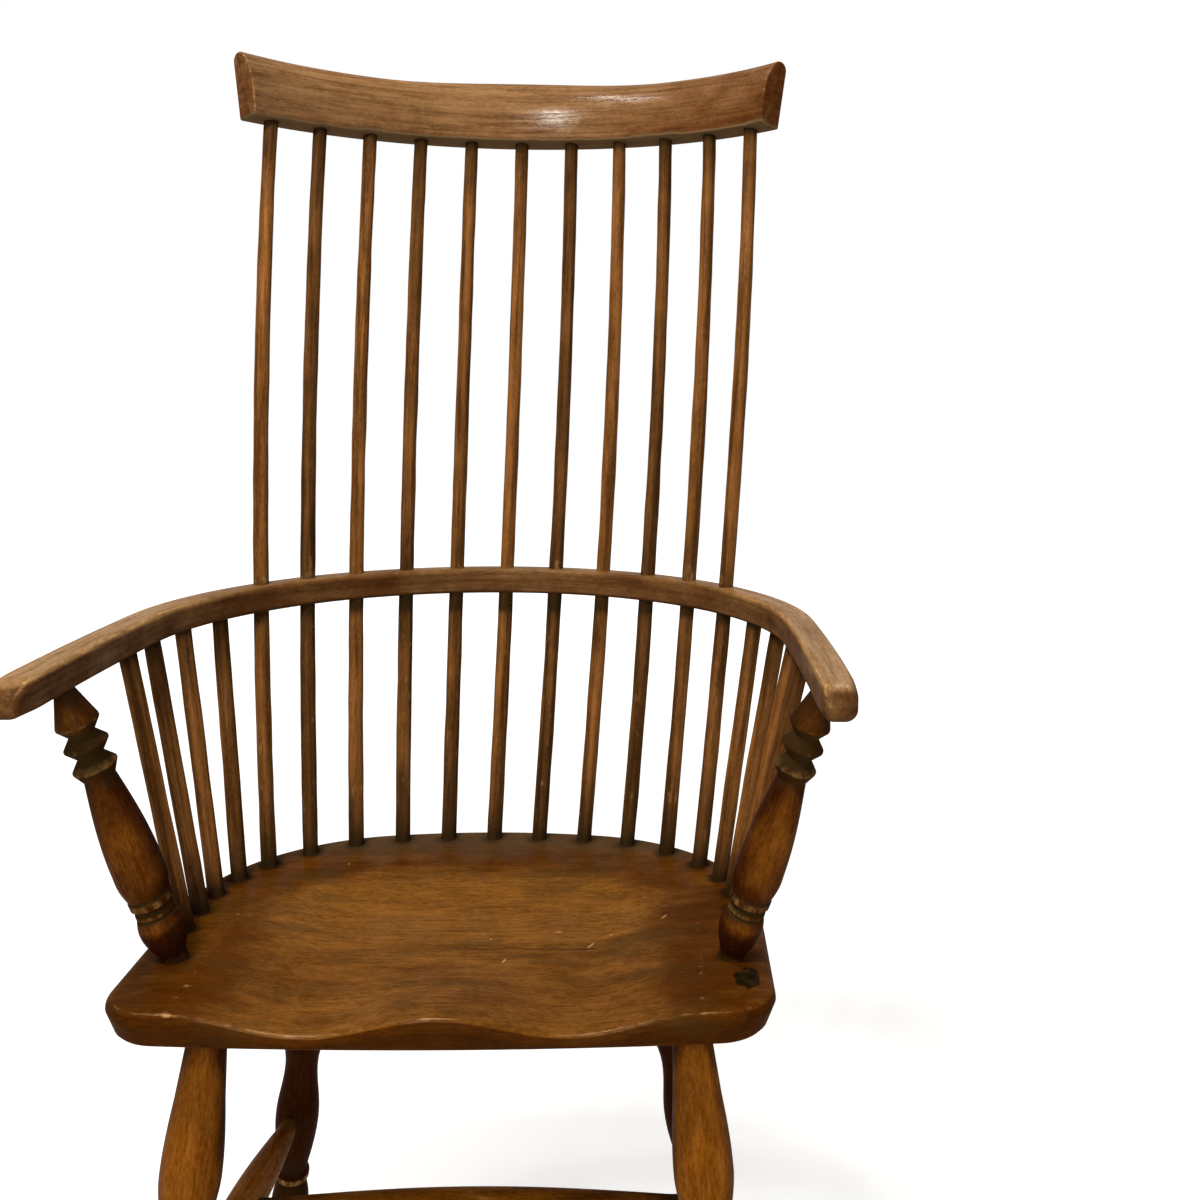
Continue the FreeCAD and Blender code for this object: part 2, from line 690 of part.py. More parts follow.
# Arm bow: one steam-bent stick whose back and arms are all of one section.

def bow_outline():
    """The bow seen from above: two half rings joined at each end to a straight arm."""
    turn = math.pi / 2 - flare
    half = size.bow_thickness / 2
    inner = size.bow_radius - half
    outer = size.bow_radius + half

    def ring(radius):
        return Part.Arc(*[on_circle(0, bow_centre, radius, angle) for angle in (-turn, 0, turn)])

    def mirror(point):
        return V(-point.x, point.y, 0)

    near, far = [on_circle(0, bow_centre, radius, turn) for radius in (inner, outer)]
    near_end, far_end = [point + arm_way * size.arm_length for point in (near, far)]
    return [
        ring(outer),
        Part.LineSegment(far, far_end),
        Part.LineSegment(far_end, near_end),
        Part.LineSegment(near_end, near),
        ring(inner),
        Part.LineSegment(mirror(near), mirror(near_end)),
        Part.LineSegment(mirror(near_end), mirror(far_end)),
        Part.LineSegment(mirror(far_end), mirror(far)),
    ]


bow = doc.addObject("PartDesign::Body", "bow")
bow_plan = sketch_in(bow, "bow_plan", "XY_Plane", V(0, 0, bow_underside))
draw_loop(bow_plan, bow_outline())
for curve, way in ((0, "+"), (4, "-")):
    half = math.copysign(size.bow_thickness / 2, 1 if way == "+" else -1)
    tie(bow_plan, Sketcher.Constraint("Radius", curve, size.bow_radius + half),
        f"sizes.bow_radius {way} sizes.bow_thickness / 2")
stave = bow.newObject("PartDesign::Pad", "bow_stave")
stave.Profile = bow_plan
stave.setExpression("Length", "sizes.bow_depth")
doc.recompute()

arm_middle = bow_centre - size.arm_length / 2
arm_ends = [f"Edge{i}" for i, edge in enumerate(stave.Shape.Edges, start=1)
            if edge.BoundBox.ZLength > size.bow_depth / 2 and edge.BoundBox.YMax < arm_middle]
noses = bow.newObject("PartDesign::Fillet", "arm_noses")
noses.Base = (stave, arm_ends)
noses.setExpression("Radius", "sizes.arm_nose_radius")
doc.recompute()

worn = bow.newObject("PartDesign::Fillet", "bow_eased_edges")
worn.Base = (noses, edges_at(noses.Shape, size.arm_height) + edges_at(noses.Shape, bow_underside))
worn.setExpression("Radius", "sizes.bow_rounding")
doc.recompute()
cut(bow, bow_tools, "arm_bow")


# Comb: lofted round its bend. The whole board leans straight back, so across its own thickness it leans
# most in the middle and least at the ends.

def comb_section(turn):
    """The comb's section at an angle round the bend, as distance from the bend's axis and height. It is
    square below and rounded over at the top, and tallest in the middle of the comb."""
    distance = turn * size.comb_bend_radius
    crown = 1 + math.cos(math.pi * min(1, 4 * abs(distance) / size.comb_length))
    face = size.comb_face + size.comb_crown * crown / 2
    lean = math.atan(math.tan(math.radians(size.comb_lean)) * math.cos(turn))
    up = V(math.sin(lean), math.cos(lean), 0)
    back = V(math.cos(lean), -math.sin(lean), 0)
    foot = V(size.comb_bend_radius, comb_row(distance).z, 0)
    front_low = foot - back * (size.comb_thickness / 2)
    back_low = foot + back * (size.comb_thickness / 2)
    front_high = front_low + up * face
    back_high = back_low + up * face

    def rounded(corner, before, after, radius):
        bulge = radius * (1 - math.sqrt(0.5))
        return Part.Arc(corner + before * radius, corner + (before + after) * bulge, corner + after * radius)

    back_round = rounded(back_high, -up, -back, size.comb_back_rounding)
    front_round = rounded(front_high, back, -up, size.comb_front_rounding)
    return [
        Part.LineSegment(front_low, back_low),
        Part.LineSegment(back_low, back_round.StartPoint),
        back_round,
        Part.LineSegment(back_round.EndPoint, front_round.StartPoint),
        front_round,
        Part.LineSegment(front_round.EndPoint, front_low),
    ]


crest = doc.addObject("PartDesign::Body", "crest")
crest_sections = []
for step in range(-COMB_SECTIONS_EACH_SIDE, COMB_SECTIONS_EACH_SIDE + 1):
    turn = step / COMB_SECTIONS_EACH_SIDE * size.comb_length / 2 / size.comb_bend_radius
    outward = on_circle(0, 0, 1, turn)
    upward = V(0, 0, 1)
    section = crest.newObject("Sketcher::SketchObject", f"crest_section_{len(crest_sections) + 1}")
    section.Placement = FreeCAD.Placement(V(0, comb_centre, 0),
                                          FreeCAD.Rotation(outward, upward, outward.cross(upward), "ZXY"))
    draw_loop(section, comb_section(turn))
    for curve, radius in ((2, "comb_back_rounding"), (4, "comb_front_rounding")):
        tie(section, Sketcher.Constraint("Radius", curve, getattr(size, radius)), f"sizes.{radius}")
    crest_sections.append(section)
bend = crest.newObject("PartDesign::AdditiveLoft", "crest_bend")
bend.Profile = crest_sections[0]
bend.Sections = crest_sections[1:]
doc.recompute()
cut(crest, comb_tools, "comb")

doc.recompute()
failed = [o.Label for o in doc.Objects if "Invalid" in o.State or "Error" in o.State]
if failed:
    raise RuntimeError(f"these objects failed: {failed}")
for piece in pieces:
    if piece.Shape.isNull() or not piece.Shape.isValid() or len(piece.Shape.Solids) != 1:
        raise RuntimeError(f"{piece.Label} is not one sound solid")

os.makedirs("parts", exist_ok=True)
for piece in pieces:
    piece.Shape.exportStep(f"parts/{piece.Label}.step")
print(len(pieces), "pieces written")
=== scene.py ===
import math

import bmesh
import bpy
import numpy as np
from mathutils import Matrix, Vector, noise


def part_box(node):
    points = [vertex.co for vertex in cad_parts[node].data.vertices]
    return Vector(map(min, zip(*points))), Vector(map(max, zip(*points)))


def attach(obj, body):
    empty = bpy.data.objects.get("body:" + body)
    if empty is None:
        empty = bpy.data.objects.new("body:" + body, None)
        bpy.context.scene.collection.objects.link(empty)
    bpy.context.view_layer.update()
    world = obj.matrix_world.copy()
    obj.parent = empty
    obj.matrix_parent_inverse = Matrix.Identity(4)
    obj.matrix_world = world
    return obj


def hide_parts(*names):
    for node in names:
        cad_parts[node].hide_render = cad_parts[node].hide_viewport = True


# A comb-back Windsor armchair in old polished wood. Metres; the chair faces -Y and stands on Z = 0.
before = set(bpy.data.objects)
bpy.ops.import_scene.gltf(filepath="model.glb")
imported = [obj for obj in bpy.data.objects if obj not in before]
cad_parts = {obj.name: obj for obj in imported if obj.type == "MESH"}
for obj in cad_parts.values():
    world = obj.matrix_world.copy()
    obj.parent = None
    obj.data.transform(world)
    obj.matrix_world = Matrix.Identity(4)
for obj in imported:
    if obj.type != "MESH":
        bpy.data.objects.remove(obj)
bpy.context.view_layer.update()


# Seat: one thick plank of elm, its grain from side to side, bevelled underneath and scooped out by hand
# with adze and scraper into a saddle with a pommel in front. Everything else is socketed into it.
# Wear has polished the saddle golden, while the deck behind the sticks keeps its dark varnish.

seat_low, seat_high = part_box("seat")
deck = seat_high.z
underside = seat_low.z
seat_half = seat_high.x
seat_back = seat_high.y
seat_front = -seat_low.y
back_radius = 0.547
shoulder_radius = 0.174
corner_radius = 0.0445
front_radius = 2.65
arc_points = 120
bevel_height = 0.0165
bevel_width = 0.034
undercut = 0.0065
rim_rounding = 0.0085
deck_width = 0.078
saddle_half = 0.188
saddle_back = seat_back - deck_width
saddle_middle = -0.076
saddle_depth = 0.013
saddle_fall = 0.1
pommel_back = -0.164
seat_around = 480


def smooth(t):
    """Rises softly from 0 at 0 to 1 at 1."""
    t = np.clip(t, 0, 1)
    return t * t * (3 - 2 * t)


def bell(t):
    """1 at 0, falling off softly on both sides."""
    return np.exp(-np.square(t))


def circle_point(x, y, radius, angle):
    """Points of a circle at angles turned from +Y towards +X, with the outward direction at each."""
    out = np.stack([np.sin(angle), np.cos(angle)], -1)
    return np.array([x, y]) + radius * out, out


def seat_edge(count):
    """Points spread evenly round the plank seen from above, with the outward direction at each."""
    back_centre = seat_back - back_radius
    shoulder_x = seat_half - shoulder_radius
    reach = back_radius - shoulder_radius
    shoulder_angle = math.asin(shoulder_x / reach)
    shoulder_y = back_centre + reach * math.cos(shoulder_angle)
    corner_x = seat_half - corner_radius
    front_centre = -seat_front + front_radius
    front_reach = front_radius - corner_radius
    corner_angle = math.pi - math.asin(corner_x / front_reach)
    corner_y = front_centre + front_reach * math.cos(corner_angle)
    arcs = [
        (0, back_centre, back_radius, 0, shoulder_angle),
        (shoulder_x, shoulder_y, shoulder_radius, shoulder_angle, math.pi / 2),
        (corner_x, corner_y, corner_radius, math.pi / 2, corner_angle),
        (0, front_centre, front_radius, corner_angle, math.pi),
    ]
    drawn = [circle_point(x, y, r, np.linspace(start, end, arc_points)) for x, y, r, start, end in arcs]
    right = np.concatenate([np.concatenate(pair, -1) for pair in drawn])
    left = right[::-1] * (-1, 1, -1, 1)
    loop = np.concatenate([right, left])
    run = np.concatenate([[0], np.cumsum(np.linalg.norm(np.diff(loop[:, :2], axis=0), axis=1))])
    even = np.linspace(0, run[-1], count, endpoint=False)
    round_it = np.stack([np.interp(even, run, column) for column in loop.T], -1)
    return round_it[:, :2], round_it[:, 2:]


def saddle_rim(y):
    """Half the saddle's width at a place along the seat: full in front, closing in a curve behind."""
    closing = np.clip((y - saddle_middle) / (saddle_back - saddle_middle), 0, 1)
    never_zero = 1e-6
    return saddle_half * np.sqrt(1 - closing ** 2) + never_zero


def seat_top(x, y):
    """The height of the seat's top: a bowl that turns into two thigh hollows beside the pommel."""
    across = np.clip(np.abs(x) / saddle_rim(y), 0, 1)
    bowl = smooth(2 * (1 - across))
    thighs = np.sin(math.pi * across) ** 2
    forward = smooth((pommel_back - y) / (pommel_back + seat_front))
    deep = saddle_depth * smooth((saddle_back - y) / saddle_fall)
    return deck - deep * ((1 - forward) * bowl + forward * thighs)


def skin(name, rings, finish):
    """A closed skin over rings of points, drawn shut at both ends. The finish holds a value, or three,
    at each point for each named attribute that the materials read."""
    count, around = rings.shape[:2]
    points = np.concatenate([rings.reshape(-1, 3), rings[:1].mean(1), rings[-1:].mean(1)])
    here = np.arange(around)
    after = (here + 1) % around
    low = np.arange(count - 1)[:, None] * around
    high = low + around
    sides = np.stack([low + here, low + after, high + after, high + here], -1)
    last = (count - 1) * around
    first_middle = np.full(around, count * around)
    faces = sides.reshape(-1, 4).tolist()
    faces += np.stack([first_middle, after, here], -1).tolist()
    faces += np.stack([first_middle + 1, last + here, last + after], -1).tolist()
    mesh = bpy.data.meshes.new(name)
    mesh.from_pydata(points.tolist(), [], faces)
    mesh.shade_smooth()
    for label, values in finish.items():
        flat = np.asarray(values, float).reshape(count, around, -1)
        whole = np.concatenate([flat.reshape(count * around, -1), flat[:1].mean(1), flat[-1:].mean(1)])
        vector = whole.shape[1] == 3
        attribute = mesh.attributes.new(label, "FLOAT_VECTOR" if vector else "FLOAT", "POINT")
        attribute.data.foreach_set("vector" if vector else "value", whole.ravel())
    shell = bmesh.new()
    shell.from_mesh(mesh)
    bmesh.ops.recalc_face_normals(shell, faces=shell.faces)
    shell.to_mesh(mesh)
    shell.free()
    return mesh


scene = bpy.context.scene


def set_in_place(mesh, node, wood):
    """Puts a finished piece in the place of its plain solid."""
    piece = bpy.data.objects.new(f"finished_{node}", mesh)
    scene.collection.objects.link(piece)
    if not mesh.materials:
        mesh.materials.append(wood)
    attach(piece, "root")
    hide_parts(node)


def solid_points(node):
    """The points of a piece's plain solid."""
    return np.array([vertex.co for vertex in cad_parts[node].data.vertices])


def stick_points(node):
    """The middles of a stick's lower end, halfway ring and upper end, read from its solid."""
    points = solid_points(node)
    from_middle = points - points.mean(0)
    way = np.linalg.svd(from_middle, full_matrices=False)[2][0]
    way *= np.sign(way[np.abs(way).argmax()])
    along = from_middle @ way
    halfway = along[np.abs(along).argmin()]
    ring_reach = 0.002
    middles = []
    for place in (along.min(), halfway, along.max()):
        ring = points[np.abs(along - place) < ring_reach]
        middles.append((ring.min(0) + ring.max(0)) / 2)
    return middles


standing = [f"long_spindle_{number:02d}" for number in range(1, 12)]
standing += [f"short_spindle_{side}_{step}" for side in ("left", "right") for step in range(1, 5)]
standing += ["arm_post_left", "arm_post_right"]


def feet_on_deck():
    """Where each standing stick comes out of the deck."""
    feet = []
    for node in standing:
        low, _, high = stick_points(node)
        feet.append((low + (high - low) * (deck - low[2]) / (high[2] - low[2]))[:2])
    return np.array(feet)


edge, outward = seat_edge(seat_around)
seat_middle = np.array([0, -0.1])
inmost = 0.02
top_rings = 62
rim_rings = 8
under_rings = 16
seat_rings = []
seat_worn = []


def lay_ring(flat, height, worn=0):
    """Adds a ring of points to the seat: over the top first, then round the rim and back underneath."""
    seat_rings.append(np.column_stack([flat, np.broadcast_to(height, seat_around)]))
    seat_worn.append(np.broadcast_to(worn, seat_around))


# Bare wood along the front rim, with a painted highlight along its rounding. A place is its distance
# from the middle, its reach and how worn it is.
worn_places = ((0, 0.025, 0.5), (0.115, 0.05, 0.5), (0.2, 0.03, 0.3))
worn_anywhere = 0.1
rim_scuff = 0.08
worn_turn = 0.6
worn_line = 0.13
from_middle = np.abs(edge[:, 0])
rim_wear_and_highlight = worn_anywhere
for place, reach, much in worn_places:
    rim_wear_and_highlight = rim_wear_and_highlight + much * bell((from_middle - place) / reach)
front_facing = smooth((-outward[:, 1] - 0.2) / 0.6)
top_edge = edge - outward * rim_rounding
for reach in np.linspace(inmost, 1, top_rings):
    flat = seat_middle + reach * (top_edge - seat_middle)
    lay_ring(flat, seat_top(*flat.T))
for turn in np.linspace(0, math.pi / 2, rim_rings + 1)[1:]:
    flat = edge - outward * rim_rounding * (1 - math.sin(turn))
    height = seat_top(*flat.T) - rim_rounding * (1 - math.cos(turn))
    # The pale band on the rim's rounding is worn wood and a painted highlight together
    scuff_and_highlight = rim_scuff + rim_wear_and_highlight * front_facing
    lay_ring(flat, height, scuff_and_highlight * bell((turn - worn_turn) / worn_line))
bevel_line = underside + bevel_height
rim_line = seat_rings[-1][:, 2]
for drop in (0.25, 0.5, 0.75, 0.9):
    lay_ring(edge - outward * undercut * drop, rim_line + (bevel_line - rim_line) * drop)
for slope in (0.06, 0.3, 0.6, 0.94, 1):
    lay_ring(edge - outward * (undercut + bevel_width * slope), bevel_line - bevel_height * slope)
under_edge = edge - outward * (undercut + bevel_width)
for reach in np.linspace(0.95, inmost, under_rings):
    lay_ring(seat_middle + reach * (under_edge - seat_middle), underside)
seat_rings = np.array(seat_rings)

# Polish inside the saddle, with painted shade darkening it in front and at the right, pale ridges at
# the saddle's sides, a dark stain across the middle, dirt round the foot of each standing stick, and
# painted shade on the plank's sides and underside.
x, y, z = np.moveaxis(seat_rings, -1, 0)
is_top = (np.arange(len(seat_rings)) < top_rings + rim_rings // 2)[:, None]
feet = feet_on_deck()
foot_radius = 0.008
dirt_reach = 0.006
to_foot = np.min(np.hypot(x[..., None] - feet[:, 0], y[..., None] - feet[:, 1]), -1)
by_a_foot = np.exp(-np.clip(to_foot - foot_radius, 0, 1) / dirt_reach)
inside_saddle = smooth((1 - np.abs(x) / saddle_rim(y)) / 0.3) * smooth((saddle_back - y) / 0.06) * is_top
ridge = bell((np.abs(x) - saddle_half) / 0.0022) * smooth((-0.06 - y) / 0.05) * is_top
# Painted shade: the saddle darker towards the front and towards the right
painted_shade = np.maximum(smooth((-0.13 - y) / 0.03), smooth((x - 0.08) / 0.1))
stain = bell((y + 0.142) / 0.016) * smooth((x + 0.1) / 0.06) * smooth((0.2 - x) / 0.08)
seat_finish = {
    "grain": np.stack([y, z, x], -1),
    "rubbed": np.where(is_top, 0.26 + (0.56 - 0.26 * painted_shade) * inside_saddle, -0.2),
    "worn": np.array(seat_worn) + 0.45 * ridge,
    # Off the top, the plank's sides and underside are painted darker, as shade
    "grime": np.where(is_top, by_a_foot + 0.44 * stain, 0.42),
}


def tint(red, green, blue):
    """A colour as seen on a screen, from 0 to 255, in the linear form that materials take."""
    parts = [value / 255 for value in (red, green, blue)]
    return [p / 12.92 if p <= 0.04045 else ((p + 0.055) / 1.055) ** 2.4 for p in parts] + [1.0]


class Wire:
    """A value in a tree of nodes. Arithmetic on it adds Math nodes, and node() adds any other."""

    def __init__(self, tree, socket=None):
        self.tree = tree
        self.socket = socket

    def node(self, kind, settings=None, sockets=None, output=0):
        made = self.tree.nodes.new(kind)
        for name, value in (settings or {}).items():
            setattr(made, name, value)
        for name, value in (sockets or {}).items():
            if isinstance(value, Wire):
                self.tree.links.new(value.socket, made.inputs[name])
            else:
                made.inputs[name].default_value = value
        return Wire(self.tree, made.outputs[output])

    def math(self, operation, first, second):
        return self.node("ShaderNodeMath", {"operation": operation}, {0: first, 1: second})

    def __add__(self, other):
        return self.math("ADD", self, other)

    def __sub__(self, other):
        return self.math("SUBTRACT", self, other)

    def __rsub__(self, other):
        return self.math("SUBTRACT", other, self)

    def __mul__(self, other):
        return self.math("MULTIPLY", self, other)

    __radd__ = __add__
    __rmul__ = __mul__

    def between(self, low, high):
        """Rises softly from 0 to 1 as this value goes from low to high."""
        return self.node("ShaderNodeMapRange", {"interpolation_type": "SMOOTHSTEP"},
                         {0: self, 1: low, 2: high, 3: 0.0, 4: 1.0})

    def stretched(self, x, y, z):
        """This vector with each of its parts multiplied."""
        return self.node("ShaderNodeVectorMath", {"operation": "MULTIPLY"}, {0: self, 1: (x, y, z)})

    def noise(self, detail=3.0, roughness=0.55, distortion=0.0):
        """Cloudy noise over this vector, about 0.5 on average."""
        return self.node("ShaderNodeTexNoise", None, {"Vector": self, "Scale": 1.0, "Detail": detail,
                                                      "Roughness": roughness, "Distortion": distortion})

    def blend(self, first, second):
        """The first colour where this value is 0 and the second where it is 1."""
        return self.node("ShaderNodeMix", {"data_type": "RGBA", "clamp_factor": True},
                         {0: self, 6: first, 7: second}, 2)


def old_wood(name, varnish, rubbed, bare, dirt, blur, streaks=0.15, softness=0.19):
    """Old polished wood. Varnish and rubbed are a dark and a light tint each, for wood that keeps its old
    finish and wood that hands have polished. Bare is the tint of worn arrises, and dirt of what gathers
    at the joints. Blur is how blurred the shine of the wax is, streaks is the share of long streaks in
    the grain, beside short flecks, and softness is how gently its dark and light meet."""
    material = bpy.data.materials.new(name)
    material.use_nodes = True
    tree = material.node_tree
    shader = tree.nodes["Principled BSDF"]
    start = Wire(tree)

    def reading(label, output="Fac"):
        return start.node("ShaderNodeAttribute", {"attribute_name": label}, None, output)

    # The grain runs along the third direction, so each layer of it changes more slowly that way
    grain = reading("grain", "Vector")
    figure = grain.stretched(150, 150, 6).noise(4.0, 0.6, 0.4)
    fibre = grain.stretched(850, 850, 22).noise(2.0, 0.6)
    pores = grain.stretched(480, 480, 170).noise(2.0, 0.7)
    mottle = grain.stretched(75, 75, 22).noise(4.0, 0.65)
    smudge = grain.stretched(45, 45, 30).noise(3.0, 0.6)
    cloud = grain.stretched(16, 16, 9).noise(3.0, 0.6)
    patch = grain.stretched(170, 170, 60).noise(3.0, 0.65)
    flecks = fibre * 0.3 + pores * 0.35 + mottle * 0.35
    tone = (figure * streaks + flecks * (1 - streaks)).between(0.5 - softness, 0.5 + softness)
    polished = (reading("rubbed") + (cloud - 0.5) * 0.65 + (smudge - 0.5) * 0.6).between(0.1, 0.85)
    colour = polished.blend(tone.blend(tint(*varnish[0]), tint(*varnish[1])),
                            tone.blend(tint(*rubbed[0]), tint(*rubbed[1])))
    worn = reading("worn")
    bareness = (worn * (0.3 + cloud * 1.4) + (patch - 0.5) * 1.5).between(0.3, 0.95)
    colour = (bareness * worn.between(0.02, 0.2) * 0.75).blend(colour, tint(*bare))
    dirty = (reading("grime") + (patch - 0.5) * 0.6).between(0.2, 0.95)
    colour = (dirty * 0.88).blend(colour, tint(*dirt))
    rough = (fibre - 0.5) * 0.25 + (cloud - 0.5) * 0.2 + dirty * 0.3 + 0.4
    wax = (fibre * 0.4 + pores * 0.3 + figure * 0.3).between(0.36, 0.62) * (1 - dirty * 0.8)
    wax = wax * (0.1 + polished * 0.9)
    relief = figure * 0.2 + fibre * 0.4 + pores * 0.2 + patch * 0.2
    shader.inputs["Coat Roughness"].default_value = blur
    return material, shader, colour, rough, wax, relief


def varnished(material, shader, colour, rough, wax, relief, shine=0.12):
    """Joins the finished colour, roughness, wax polish and relief to the shader. The wood itself is dull,
    and shine is how strong the wax on it is."""
    tree = material.node_tree
    tree.links.new(colour.socket, shader.inputs["Base Color"])
    tree.links.new(rough.socket, shader.inputs["Roughness"])
    bump = relief.node("ShaderNodeBump", None, {"Strength": 0.4, "Distance": 0.0001, "Height": relief})
    tree.links.new(bump.socket, shader.inputs["Normal"])
    tree.links.new((wax * shine).socket, shader.inputs["Coat Weight"])
    shader.inputs["Specular IOR Level"].default_value = 0.003
    return material


seat_material, seat_shader, seat_colour, seat_rough, seat_wax, seat_relief = old_wood(
    "old_elm_seat", varnish=((52, 25, 3), (80, 41, 5)), rubbed=((80, 46, 10), (134, 86, 30)),
    bare=(190, 144, 96), dirt=(24, 14, 6), blur=0.28)
spot = Wire(seat_material.node_tree).node("ShaderNodeTexCoord", None, None, "Object")
spot_x, spot_y, spot_z = (spot.node("ShaderNodeSeparateXYZ", None, {0: spot}, part) for part in range(3))
wander = spot.stretched(22, 22, 22).noise(2.0) - 0.5


def mark(x, y, width, depth, turn=0):
    """How far a spot of the seat is from a mark's middle, as a share of the mark's half size."""
    aside = spot_x - x
    behind = spot_y - y
    across = (aside * math.cos(turn) + behind * math.sin(turn)) * (2 / width)
    along = (behind * math.cos(turn) - aside * math.sin(turn)) * (2 / depth)
    return across.math("POWER", across * across + along * along, 0.5)


# A drying crack along the grain in the saddle, darkest at its right end, blotches of old polish, dust and
# a painted sheen at the back, a dark knot at the right front corner, and the scratches of long use. A
# scratch is its place, its length and the way it runs, in degrees.
on_top = spot_z.between(underside + bevel_height, deck - saddle_depth)
crack_line = -0.15
off_crack = spot_y - crack_line + wander * 0.012
crack = 1.0 - off_crack.math("ABSOLUTE", off_crack, 0.0).between(0.0006, 0.0028)
crack = crack * spot_x.between(-0.09, -0.06) * (1.0 - spot_x.between(0.1, 0.115)) * on_top
seat_colour = (crack * (0.3 + 0.35 * spot_x.between(0.03, 0.07))).blend(seat_colour, tint(34, 18, 6))
old_polish = spot.stretched(13, 30, 13).noise(3.0, 0.6).between(0.47, 0.68) * on_top
seat_colour = (old_polish * 0.5).blend(seat_colour, tint(62, 42, 14))
# Dust and a painted sheen: the deck behind the sticks greyer and paler
dust_and_sheen = (spot_y + wander * 0.05).between(0.0, 0.05) * on_top
seat_colour = (dust_and_sheen * 0.55).blend(seat_colour, tint(66, 52, 32))
knot_x = 0.223
knot_y = -0.2304
knot_width = 0.02
knot_depth = 0.034
ragged = spot.stretched(160, 90, 160).noise(3.0, 0.7)
knot = 1.0 - (mark(knot_x, knot_y, knot_width, knot_depth) + (ragged - 0.5) * 1.1).between(0.85, 1.05)
knot_colour = ragged.between(0.4, 0.7).blend(tint(16, 13, 4), tint(40, 32, 12))
seat_colour = (knot * on_top * 0.95).blend(seat_colour, knot_colour)
scratch_width = 0.0017
scratches = ((0.0747, -0.118, 0.008, 0), (0.118, -0.1284, 0.005, 0), (0.1613, -0.112, 0.010, 53),
             (0.1023, -0.1441, 0.014, 59), (0.0354, -0.1715, 0.0108, 77), (0.0204, -0.131, 0.003, 0),
             (-0.123, -0.0006, 0.003, 20))
for scratch_x, scratch_y, length, heading in scratches:
    off_scratch = mark(scratch_x, scratch_y, length, scratch_width, math.radians(heading))
    scratch = 1.0 - off_scratch.between(0.5, 1.0)
    seat_colour = (scratch * on_top * 0.8).blend(seat_colour, tint(186, 148, 98))
seat_relief = seat_relief - crack * 0.8
seat_wood = varnished(seat_material, seat_shader, seat_colour, seat_rough, seat_wax, seat_relief)
set_in_place(skin("seat_plank", seat_rings, seat_finish), "seat", seat_wood)


# Legs: four turned sticks of beech. Each has a tapered top that is driven into a reamed socket in the
# seat, a long belly above the stretcher, a collar, and a bulb that runs down to a small foot.

leg_socket = 0.022
leg_taper = 0.034
shoulder_drop = 0.055
belly_drop = 0.112
stretcher_height = 0.168
collar_height = 0.108
collar_width = 0.005
bulb_height = 0.072
foot_easing = 0.002
leg_head = 0.022
leg_neck = 0.0295
leg_shoulder = 0.037
leg_belly = 0.0455
leg_waist = 0.030
leg_swell = 0.040
leg_groove = 0.026
leg_collar = 0.032
leg_bulb = 0.035
leg_foot = 0.0255
leg_sole = 0.0225
turned_around = 56
out_of_round = 0.008


def profile(stations, step=0.0005, soften=0.0002):
    """Distances along a turned stick and its radius at each. A station is a distance, a diameter and how
    the cutter gets there: straight, ease (level at both), rise (arrives level) or fall (leaves level)."""
    ways = {
        "straight": lambda t: t,
        "ease": lambda t: (1 - np.cos(math.pi * t)) / 2,
        "rise": lambda t: np.sin(math.pi * t / 2),
        "fall": lambda t: 1 - np.cos(math.pi * t / 2),
    }
    end = stations[-1][0]
    run = np.linspace(0, end, int(end / step) + 1)
    radius = np.full(len(run), stations[0][1] / 2)
    for (start, thin, _), (stop, thick, way) in zip(stations, stations[1:]):
        here = (run >= start) & (run <= stop)
        t = (run[here] - start) / (stop - start)
        radius[here] = (thin + (thick - thin) * ways[way](t)) / 2
    reach = int(3 * soften / step) + 1
    weights = bell(np.arange(-reach, reach + 1) * step / (soften * math.sqrt(2)))
    padded = np.pad(radius, reach, mode="edge")
    return run, np.convolve(padded, weights / weights.sum(), mode="valid")


def along_stick(run, table):
    """Reads a table of (distance, value) pairs at every distance along a stick."""
    places, values = zip(*table)
    return np.interp(run, places, values)


def turned(name, start, end, stations, rubbed, grime, worn, painted_light=0, faces=-1, to_floor=None):
    """A lathe-turned stick from one point to another. Rubbed, grime and worn are tables along it. The next
    argument sets painted light and shade round the stick: one side painted lighter, as if lit, which faces
    back (1) or front (-1), and the other sides painted darker, as shade. A leg's last part, from a distance
    on, is sheared so that its foot stands flat on the floor."""
    run, radius = profile(stations)
    way = (end - start) / np.linalg.norm(end - start)
    side = np.cross(way, (0.3, 0.9, 0.2))
    side /= np.linalg.norm(side)
    other = np.cross(way, side)
    angle = np.linspace(0, 2 * math.pi, turned_around, endpoint=False)
    spokes = np.cos(angle)[:, None] * side + np.sin(angle)[:, None] * other
    seed = sum(map(ord, name))
    waver = np.sin(2 * angle[None] + seed + 4 * run[:, None]) * smooth(run / 0.05)[:, None]
    out = radius[:, None] * (1 + out_of_round * waver)
    rings = start + way * run[:, None, None] + spokes[None] * out[..., None]
    if to_floor is not None:
        lift = -rings[-1, :, 2] / way[2]
        rings += way * (lift[None] * smooth((run - to_floor) / (run[-1] - to_floor))[:, None])[..., None]
    all_round = np.ones(turned_around)
    local = np.stack([np.cos(angle) * out, np.sin(angle) * out, np.outer(run, all_round)], -1)
    # Painted light and shade: lighter on the side that faces the given way, darker round the rest
    painted_light_and_shade = painted_light * (np.clip(faces * spokes[:, 1], 0, 1) - 0.8)
    finish = {
        "grain": local + np.array([seed * 0.37 % 3, seed * 0.73 % 5, seed * 0.11 % 7]),
        "rubbed": np.outer(along_stick(run, rubbed), all_round) + painted_light_and_shade,
        "grime": np.outer(along_stick(run, grime), all_round),
        "worn": np.outer(along_stick(run, worn), all_round),
    }
    return skin(name, rings, finish)


turned_wood = varnished(*old_wood(
    "old_turned_beech", varnish=((30, 9, 2), (60, 28, 8)), rubbed=((86, 43, 3), (144, 86, 20)),
    bare=(178, 134, 76), dirt=(46, 34, 16), blur=0.2), shine=0.1)

